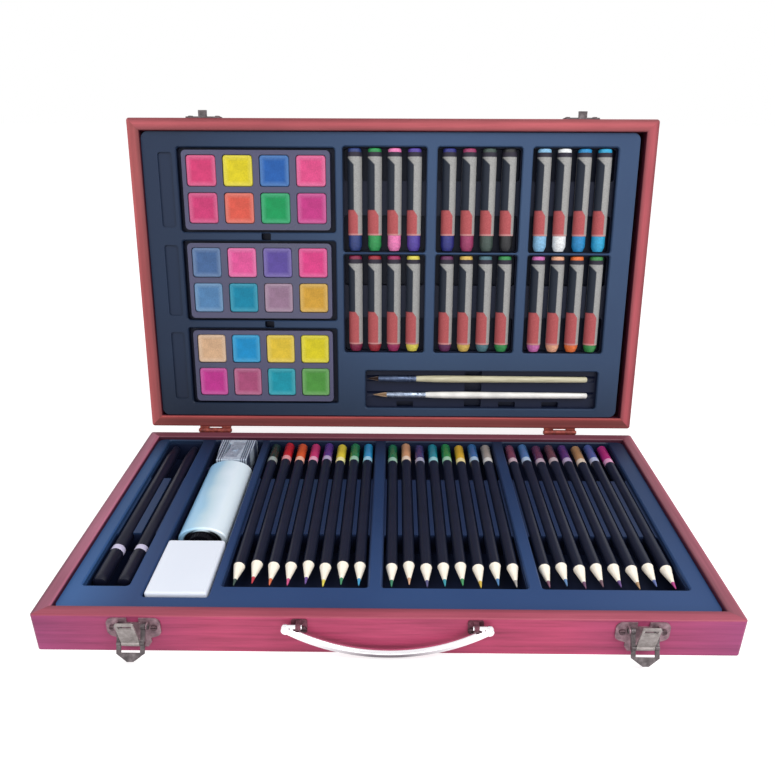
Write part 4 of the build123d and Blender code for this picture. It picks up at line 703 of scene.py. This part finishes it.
# The material of each CAD node that stays, by its name or else by a word in it
NODE_LOOKS = {
    "base_front_rail": "front_wood",
    "base_back_rail": "back_wood",
    "base_left_rail": "left_wood",
    "base_right_rail": "right_wood",
    "lid_front_rail": "lid_front_wood",
    "lid_back_rail": "lid_hinge_wood",
    "lid_left_rail": "lid_left_wood",
    "lid_right_rail": "lid_right_wood",
    "base_bottom_panel": "board",
    "lid_top_panel": "lid_board",
    "base_tray": "tray",
    "lid_tray": "lid_tray",
    "carry_handle": "bail",
    "left_handle_lug": "lug",
    "right_handle_lug": "lug",
    "paint_tube_body": "tube",
    "paint_tube_cap": "black_cap",
    "sharpener_body": "sharpener",
    "sharpener_blade": "steel",
    "sharpener_screw": "steel",
    "eraser": "eraser",
}
WORD_LOOKS = {
    "latch_link": "link",
    "latch_plate": "plate",
    "screws": "screws",
    "hinge": "hinge",
    "palette": "palette",
}


def dress_cad_nodes():
    """Gives every CAD node that stays its finished material."""
    for name, piece in nodes.items():
        by_word = [look for word, look in WORD_LOOKS.items() if word in name]
        look = NODE_LOOKS.get(name) or (by_word + ["bronze"])[0]
        for slot in piece.material_slots:
            slot.material = MATERIALS[look]


def add_mesh(name, vertices, faces, face_materials, materials, place, sharp=35):
    """A mesh object with its materials, smooth except at edges sharper than some degrees."""
    mesh = bpy.data.meshes.new(name)
    mesh.from_pydata(vertices, [], faces)
    for material in materials:
        mesh.materials.append(material)
    for polygon, index in zip(mesh.polygons, face_materials):
        polygon.material_index = index
    mesh.shade_smooth()
    mesh.set_sharp_from_angle(angle=math.radians(sharp))
    piece = bpy.data.objects.new(name, mesh)
    bpy.context.collection.objects.link(piece)
    piece.matrix_world = place
    return piece


def lathe(name, profile, materials, place, segments=40):
    """A turned piece along its own y axis, from rings of y, radius and the material that follows."""
    vertices = []
    faces = []
    face_materials = []
    for y, radius, _ in profile:
        for i in range(segments):
            angle = 2 * math.pi * i / segments
            vertices.append((radius * math.cos(angle), y, radius * math.sin(angle)))
    for ring in range(len(profile) - 1):
        low, high = ring * segments, (ring + 1) * segments
        for i in range(segments):
            j = (i + 1) % segments
            faces.append((low + i, high + i, high + j, low + j))
            face_materials.append(profile[ring][2])
    faces.append(tuple(range(segments)))
    face_materials.append(profile[0][2])
    last = (len(profile) - 1) * segments
    faces.append(tuple(reversed(range(last, last + segments))))
    face_materials.append(profile[-1][2])
    return add_mesh(name, vertices, faces, face_materials, materials, place)


def from_middle(index, count):
    """A place in a row of several, counted from the row's middle."""
    return index - (count - 1) / 2


def make_pencils():
    """Twenty-four pencils: coloured lead, bare cone, black barrel, pale ring and dipped end."""
    radius = PENCIL_RADIUS
    dipped = PENCIL_RADIUS + PENCIL_DIP_SKIN
    dip = PENCIL_LENGTH - PENCIL_DIP
    profile = [
        (0, PENCIL_LEAD_TIP, 0),
        (PENCIL_CONE * PENCIL_LEAD / PENCIL_RADIUS, PENCIL_LEAD, 1),
        (PENCIL_CONE - 0.8 * MM, radius - 0.22 * MM, 1),
        (PENCIL_CONE, radius - PENCIL_DIP_SKIN, 2),
        (PENCIL_CONE + 0.4 * MM, radius, 2),
        (dip, radius, 3),
        (dip + 0.15 * MM, dipped, 3),
        (dip + PENCIL_RING, dipped, 4),
        (PENCIL_LENGTH - 1.2 * MM, dipped, 4),
        (PENCIL_LENGTH - 0.35 * MM, radius - 0.35 * MM, 4),
        (PENCIL_LENGTH, radius - 1.1 * MM, 4),
    ]
    for side, centre in PENCIL_SET_X.items():
        colours = PENCIL_COLOURS[side]
        for i, colour in enumerate(colours):
            slip = PENCIL_STAGGER * math.sin(PENCIL_STAGGER_STEP * i + centre)
            x = centre * MM + from_middle(i, len(colours)) * PENCIL_PITCH
            place = BASE @ Matrix.Translation((x, PENCIL_TIP_Y + slip, PENCIL_AXIS_Z))
            tag = f"{side}_{i + 1}"
            materials = [
                waxy(f"lead_{tag}", paler(colour, 0.15)),
                MATERIALS["pencil_wood"],
                MATERIALS["black_lacquer"],
                lacquer(f"ring_{tag}", paler(colour, 0.55)),
                lacquer(f"dip_{tag}", colour),
            ]
            piece = lathe(f"pencil_{tag}", profile, materials, place)
            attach(piece, f"{side}_pencil_set")
            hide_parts(f"{side}_pencils")


def make_pastels():
    """Twenty-four oil pastels in grey paper with a red band, their bare tips down."""
    for row, start_y in PASTEL_ROW_Y.items():
        profile = [
            (0, PASTEL_TIP_RADIUS - 0.5 * MM, 0),
            (0.3 * MM, PASTEL_TIP_RADIUS, 0),
            (PASTEL_TIP_LENGTH, PASTEL_RADIUS, 0),
            (WRAPPER_START[row], PASTEL_RADIUS, 1),
            (WRAPPER_START[row] + WRAPPER_STEP, WRAPPER_RADIUS, 1),
            (WRAPPER_END, WRAPPER_RADIUS, 1),
            (WRAPPER_END + WRAPPER_STEP, PASTEL_RADIUS, 0),
            (PASTEL_LENGTH - 0.6 * MM, PASTEL_RADIUS, 0),
            (PASTEL_LENGTH, PASTEL_RADIUS - 0.6 * MM, 0),
        ]
        for side, centre in PASTEL_SET_X.items():
            colours = PASTEL_COLOURS[(row, side)]
            for i, colour in enumerate(colours):
                x = centre * MM + from_middle(i, len(colours)) * PASTEL_PITCH
                turn = Matrix.Rotation(chance.uniform(-PASTEL_TURN, PASTEL_TURN), 4, "Y")
                place = LID @ Matrix.Translation((x, start_y * MM, PASTEL_AXIS_Z)) @ turn
                tag = f"{row}_{side}_{i + 1}"
                materials = [waxy(f"wax_{tag}", colour), MATERIALS[f"{row}_wrapper"]]
                piece = lathe(f"pastel_{tag}", profile, materials, place)
                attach(piece, f"{row}_{side}_pastel_set")
                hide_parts(f"{row}_{side}_pastels")


def rounded_square(half, corner, steps=6):
    """Points of a rounded square, in order."""
    points = []
    for quarter in range(4):
        middle = math.pi / 4 + quarter * math.pi / 2
        cx = math.copysign(half - corner, math.cos(middle))
        cy = math.copysign(half - corner, math.sin(middle))
        for step in range(steps + 1):
            angle = quarter * math.pi / 2 + step / steps * math.pi / 2
            points.append((cx + corner * math.cos(angle), cy + corner * math.sin(angle)))
    return points


def cake_mesh():
    """A pressed cake's points and faces: a raised rim and a shallow dished top."""
    vertices = []
    for inwards, down in CAKE_RINGS:
        corner = max(CAKE_CORNER - inwards * CAKE_CORNER_SHRINK, CAKE_CORNER_LEAST)
        vertices += [(x, y, -down) for x, y in rounded_square(CAKE / 2 - inwards, corner)]
    count = len(vertices) // len(CAKE_RINGS)
    faces = []
    for ring in range(len(CAKE_RINGS) - 1):
        low, high = ring * count, (ring + 1) * count
        for i in range(count):
            j = (i + 1) % count
            faces.append((low + i, low + j, high + j, high + i))
    faces.append(tuple(reversed(range(count))))
    faces.append(tuple(range(len(vertices) - count, len(vertices))))
    return vertices, faces


def make_cakes():
    """Eight pressed paint cakes in each palette."""
    vertices, faces = cake_mesh()
    for name, centre_y in PALETTE_Y.items():
        for i, colour in enumerate(CAKE_COLOURS[name]):
            row, column = divmod(i, CAKE_COLUMNS)
            x = PALETTE_X + from_middle(column, CAKE_COLUMNS) * CAKE_PITCH[0]
            y = centre_y * MM + CAKE_SHIFT_Y - from_middle(row, CAKE_ROWS) * CAKE_PITCH[1]
            place = LID @ Matrix.Translation((x, y, CAKE_TOP_Z))
            material = pressed_paint(f"paint_{name}_{i + 1}", colour)
            piece = add_mesh(f"cake_{name}_{i + 1}", vertices, faces, [0] * len(faces), [material], place, 50)
            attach(piece, f"{name}_palette_set")
            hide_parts(f"{name}_paint_cakes")


def hair_strand(share, angle, reach, bend):
    """One hair's points: it starts in the ferrule, bellies out a little and draws in to the brush's point."""
    points = []
    for level in HAIR_LEVELS:
        gather = 1 + HAIR_BELLY * level - HAIR_GATHER * level**HAIR_GATHER_LATE
        radius = HAIR_MOUTH * share * gather
        thickness = HAIR_THICKNESS * (1 - HAIR_THINNING * level)
        x = radius * math.cos(angle + bend * level)
        z = radius * math.sin(angle + bend * level)
        for corner in range(HAIR_SIDES):
            around = angle + corner * 2 * math.pi / HAIR_SIDES
            out_x, out_z = thickness * math.cos(around), thickness * math.sin(around)
            points.append((x + out_x, -reach * level, z + out_z))
    return points


def make_hair(name, length, material, place):
    """A brush tip of fine tapering hairs that draw together to a soft point."""
    vertices = []
    faces = []
    golden = math.pi * (3 - math.sqrt(5))
    for i in range(HAIR_STRANDS):
        share = math.sqrt((i + 0.5) / HAIR_STRANDS)
        reach = length * (1 - HAIR_OUTER_SHORTER * share**2) * chance.uniform(*HAIR_LENGTHS)
        bend = chance.uniform(-HAIR_BEND, HAIR_BEND)
        start = len(vertices)
        vertices += hair_strand(share, i * golden, reach, bend)
        for level in range(len(HAIR_LEVELS) - 1):
            low, high = start + level * HAIR_SIDES, start + (level + 1) * HAIR_SIDES
            for corner in range(HAIR_SIDES):
                following = (corner + 1) % HAIR_SIDES
                faces.append((low + corner, low + following, high + following, high + corner))
        faces.append(tuple(range(len(vertices) - HAIR_SIDES, len(vertices))))
        faces.append(tuple(reversed(range(start, start + HAIR_SIDES))))
    return add_mesh(name, vertices, faces, [0] * len(faces), [material], place, 60)


def ferrule_profile(start, end):
    """The rings of a ferrule that is crimped twice near its end."""
    radius, pressed = FERRULE_RADIUS, FERRULE_RADIUS - FERRULE_CRIMP
    rings = [(start, 2.05 * MM, 0), (start + 0.15 * MM, 2.15 * MM, 0), (start + 8 * MM, radius, 0)]
    for crimp in FERRULE_CRIMPS:
        y = end - crimp
        rings += [
            (y, radius, 0),
            (y + 0.35 * MM, pressed, 0),
            (y + 0.9 * MM, pressed, 0),
            (y + 1.25 * MM, radius, 0),
        ]
    return rings + [(end - 0.3 * MM, radius, 0), (end, radius - 0.1 * MM, 0)]


def handle_profile(start, length):
    """The rings of a turned brush handle."""
    end = start + length
    return [
        (start - 0.5 * MM, 2.0 * MM, 0),
        (start + 0.05 * MM, 2.15 * MM, 0),
        (start + 3 * MM, 2.3 * MM, 0),
        (start + 14 * MM, 2.58 * MM, 0),
        (start + 26 * MM, 2.68 * MM, 0),
        (start + 45 * MM, 2.6 * MM, 0),
        (start + 0.6 * length, 2.42 * MM, 0),
        (end - 12 * MM, 2.24 * MM, 0),
        (end - 1.2 * MM, 2.15 * MM, 0),
        (end - 0.3 * MM, 1.8 * MM, 0),
        (end, 1.4 * MM, 0),
    ]


def make_brushes():
    """Two brushes lying bristles to the left: turned handle, crimped ferrule and hair."""
    for name, size in BRUSHES.items():
        looks = BRUSH_LOOKS[name]
        metal, wood, hair = (MATERIALS[looks[key]] for key in ("metal", "wood", "hair"))
        bristles, ferrule, handle = (size[key] * MM for key in ("bristles", "ferrule", "handle"))
        joint = bristles + ferrule
        tip = Matrix.Translation((size["tip_x"] * MM, size["y"] * MM, BRUSH_AXIS_Z))
        place = LID @ (tip @ Matrix.Rotation(-math.pi / 2, 4, "Z"))
        sleeve = lathe(f"{name}_ferrule", ferrule_profile(bristles, joint), [metal], place)
        stick = lathe(f"{name}_brush_handle", handle_profile(joint, handle), [wood], place)
        tuft = make_hair(f"{name}_hair", bristles, hair, place @ Matrix.Translation((0, bristles, 0)))
        for piece in (sleeve, stick):
            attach(piece, f"{name}_paint_brush")
            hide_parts(f"{name}_brush")
        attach(tuft, f"{name}_paint_brush")
        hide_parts(f"{name}_brush_bristles")


def make_pens():
    """Two capped pens: black cap, pale ring and a black barrel that narrows towards its end."""
    cap, ring = PEN_CAP_LENGTH, PEN_CAP_LENGTH + PEN_RING_LENGTH
    big, small = PEN_CAP_RADIUS, PEN_RADIUS
    profile = [
        (0, big - 1.5 * MM, 0),
        (0.5 * MM, big - 0.6 * MM, 0),
        (1.6 * MM, big - 0.1 * MM, 0),
        (4 * MM, big, 0),
        (cap - 0.4 * MM, big, 0),
        (cap - 0.1 * MM, big - 0.25 * MM, 1),
        (cap + 0.2 * MM, big - 0.05 * MM, 1),
        (ring - 0.3 * MM, big - 0.05 * MM, 1),
        (ring, big - 0.3 * MM, 0),
        (ring + 0.2 * MM, small, 0),
        (PEN_LENGTH - PEN_TAPER, small, 0),
        (PEN_LENGTH - 1.2 * MM, 2.8 * MM, 0),
        (PEN_LENGTH - 0.3 * MM, 2.3 * MM, 0),
        (PEN_LENGTH, 1.6 * MM, 0),
    ]
    for side, x in PEN_X.items():
        place = BASE @ Matrix.Translation((x * MM, PEN_TIP_Y, PEN_AXIS_Z))
        materials = [MATERIALS["pen_black"], MATERIALS["pen_ring"]]
        piece = lathe(f"pen_{side}", profile, materials, place, 48)
        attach(piece, f"{side}_drawing_pen")
        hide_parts(f"{side}_pen")


def make_camera():
    """The photograph's camera."""
    yaw = Matrix.Rotation(CAMERA_YAW, 3, "Z")
    forward = yaw @ Vector((0, math.cos(CAMERA_PITCH), -math.sin(CAMERA_PITCH)))
    up = yaw @ Vector((0, math.sin(CAMERA_PITCH), math.cos(CAMERA_PITCH)))
    right = yaw @ Vector((1, 0, 0))
    across = math.cos(CAMERA_ROLL) * right + math.sin(CAMERA_ROLL) * up
    above = -math.sin(CAMERA_ROLL) * right + math.cos(CAMERA_ROLL) * up
    data = bpy.data.cameras.new("camera")
    data.sensor_width = SENSOR
    data.lens = FOCAL_PIXELS / IMAGE_SIZE * SENSOR
    data.shift_y = CENTRE_BELOW / IMAGE_SIZE
    data.clip_start = CAMERA_NEAR
    data.clip_end = CAMERA_FAR
    camera = bpy.data.objects.new("camera", data)
    bpy.context.collection.objects.link(camera)
    turn = Matrix((across, above, -forward)).transposed().to_4x4()
    camera.matrix_world = Matrix.Translation(CAMERA_PLACE) @ turn
    bpy.context.scene.camera = camera


def seen_directly(tree):
    """1 for what the camera sees, straight or in bright metal, and 0 for the light that surfaces receive."""
    path = tree.nodes.new("ShaderNodeLightPath")
    share = path.outputs["Is Camera Ray"]
    for kind in ("Is Glossy Ray", "Is Transmission Ray"):
        larger = tree.nodes.new("ShaderNodeMath")
        larger.operation = "MAXIMUM"
        tree.links.new(share, larger.inputs[0])
        tree.links.new(path.outputs[kind], larger.inputs[1])
        share = larger.outputs["Value"]
    return share


def make_world():
    """A soft white surround that the camera sees as plain white."""
    world = bpy.data.worlds.new("studio")
    bpy.context.scene.world = world
    world.use_nodes = True
    tree = world.node_tree
    soft = tree.nodes["Background"]
    bright = tree.nodes.new("ShaderNodeBackground")
    mix = tree.nodes.new("ShaderNodeMixShader")
    tree.links.new(seen_directly(tree), mix.inputs["Fac"])
    for background, strength, socket in ((soft, SURROUND_LIGHT, 1), (bright, SURROUND_SEEN, 2)):
        background.inputs["Color"].default_value = linear(WHITE)
        background.inputs["Strength"].default_value = strength
        tree.links.new(background.outputs[0], mix.inputs[socket])
    tree.links.new(mix.outputs[0], tree.nodes["World Output"].inputs["Surface"])


def make_floor():
    """A grey floor that glows where the camera sees it, so that it looks white and keeps the shadow."""
    mesh = bpy.data.meshes.new("floor")
    far = FLOOR_HALF
    mesh.from_pydata([(-far, -far, 0), (far, -far, 0), (far, far, 0), (-far, far, 0)], [], [(0, 1, 2, 3)])
    floor = bpy.data.objects.new("floor", mesh)
    bpy.context.collection.objects.link(floor)
    floor.location.z = -FLOOR_DROP
    material = bpy.data.materials.new("floor_white")
    material.use_nodes = True
    tree = material.node_tree
    bsdf = tree.nodes["Principled BSDF"]
    bsdf.inputs["Base Color"].default_value = (FLOOR_GREY, FLOOR_GREY, FLOOR_GREY, 1)
    bsdf.inputs["Roughness"].default_value = FLOOR_ROUGHNESS
    bsdf.inputs["Emission Color"].default_value = (FLOOR_GLOW, FLOOR_GLOW, FLOOR_GLOW, 1)
    tree.links.new(seen_directly(tree), bsdf.inputs["Emission Strength"])
    mesh.materials.append(material)


def make_lamps():
    """Soft light, mostly from above on the right."""
    for name, (place, target, size, power) in LAMPS.items():
        data = bpy.data.lights.new(name, "AREA")
        data.shape = "RECTANGLE"
        data.size, data.size_y = size
        data.energy = power
        lamp = bpy.data.objects.new(name, data)
        bpy.context.collection.objects.link(lamp)
        turn = (Vector(target) - Vector(place)).to_track_quat("-Z", "Y").to_matrix().to_4x4()
        lamp.matrix_world = Matrix.Translation(place) @ turn


make_camera()
make_floor()
make_world()
make_lamps()
dress_cad_nodes()
make_pencils()
make_pastels()
make_cakes()
make_brushes()
make_pens()

bpy.context.scene.view_settings.view_transform = "Standard"
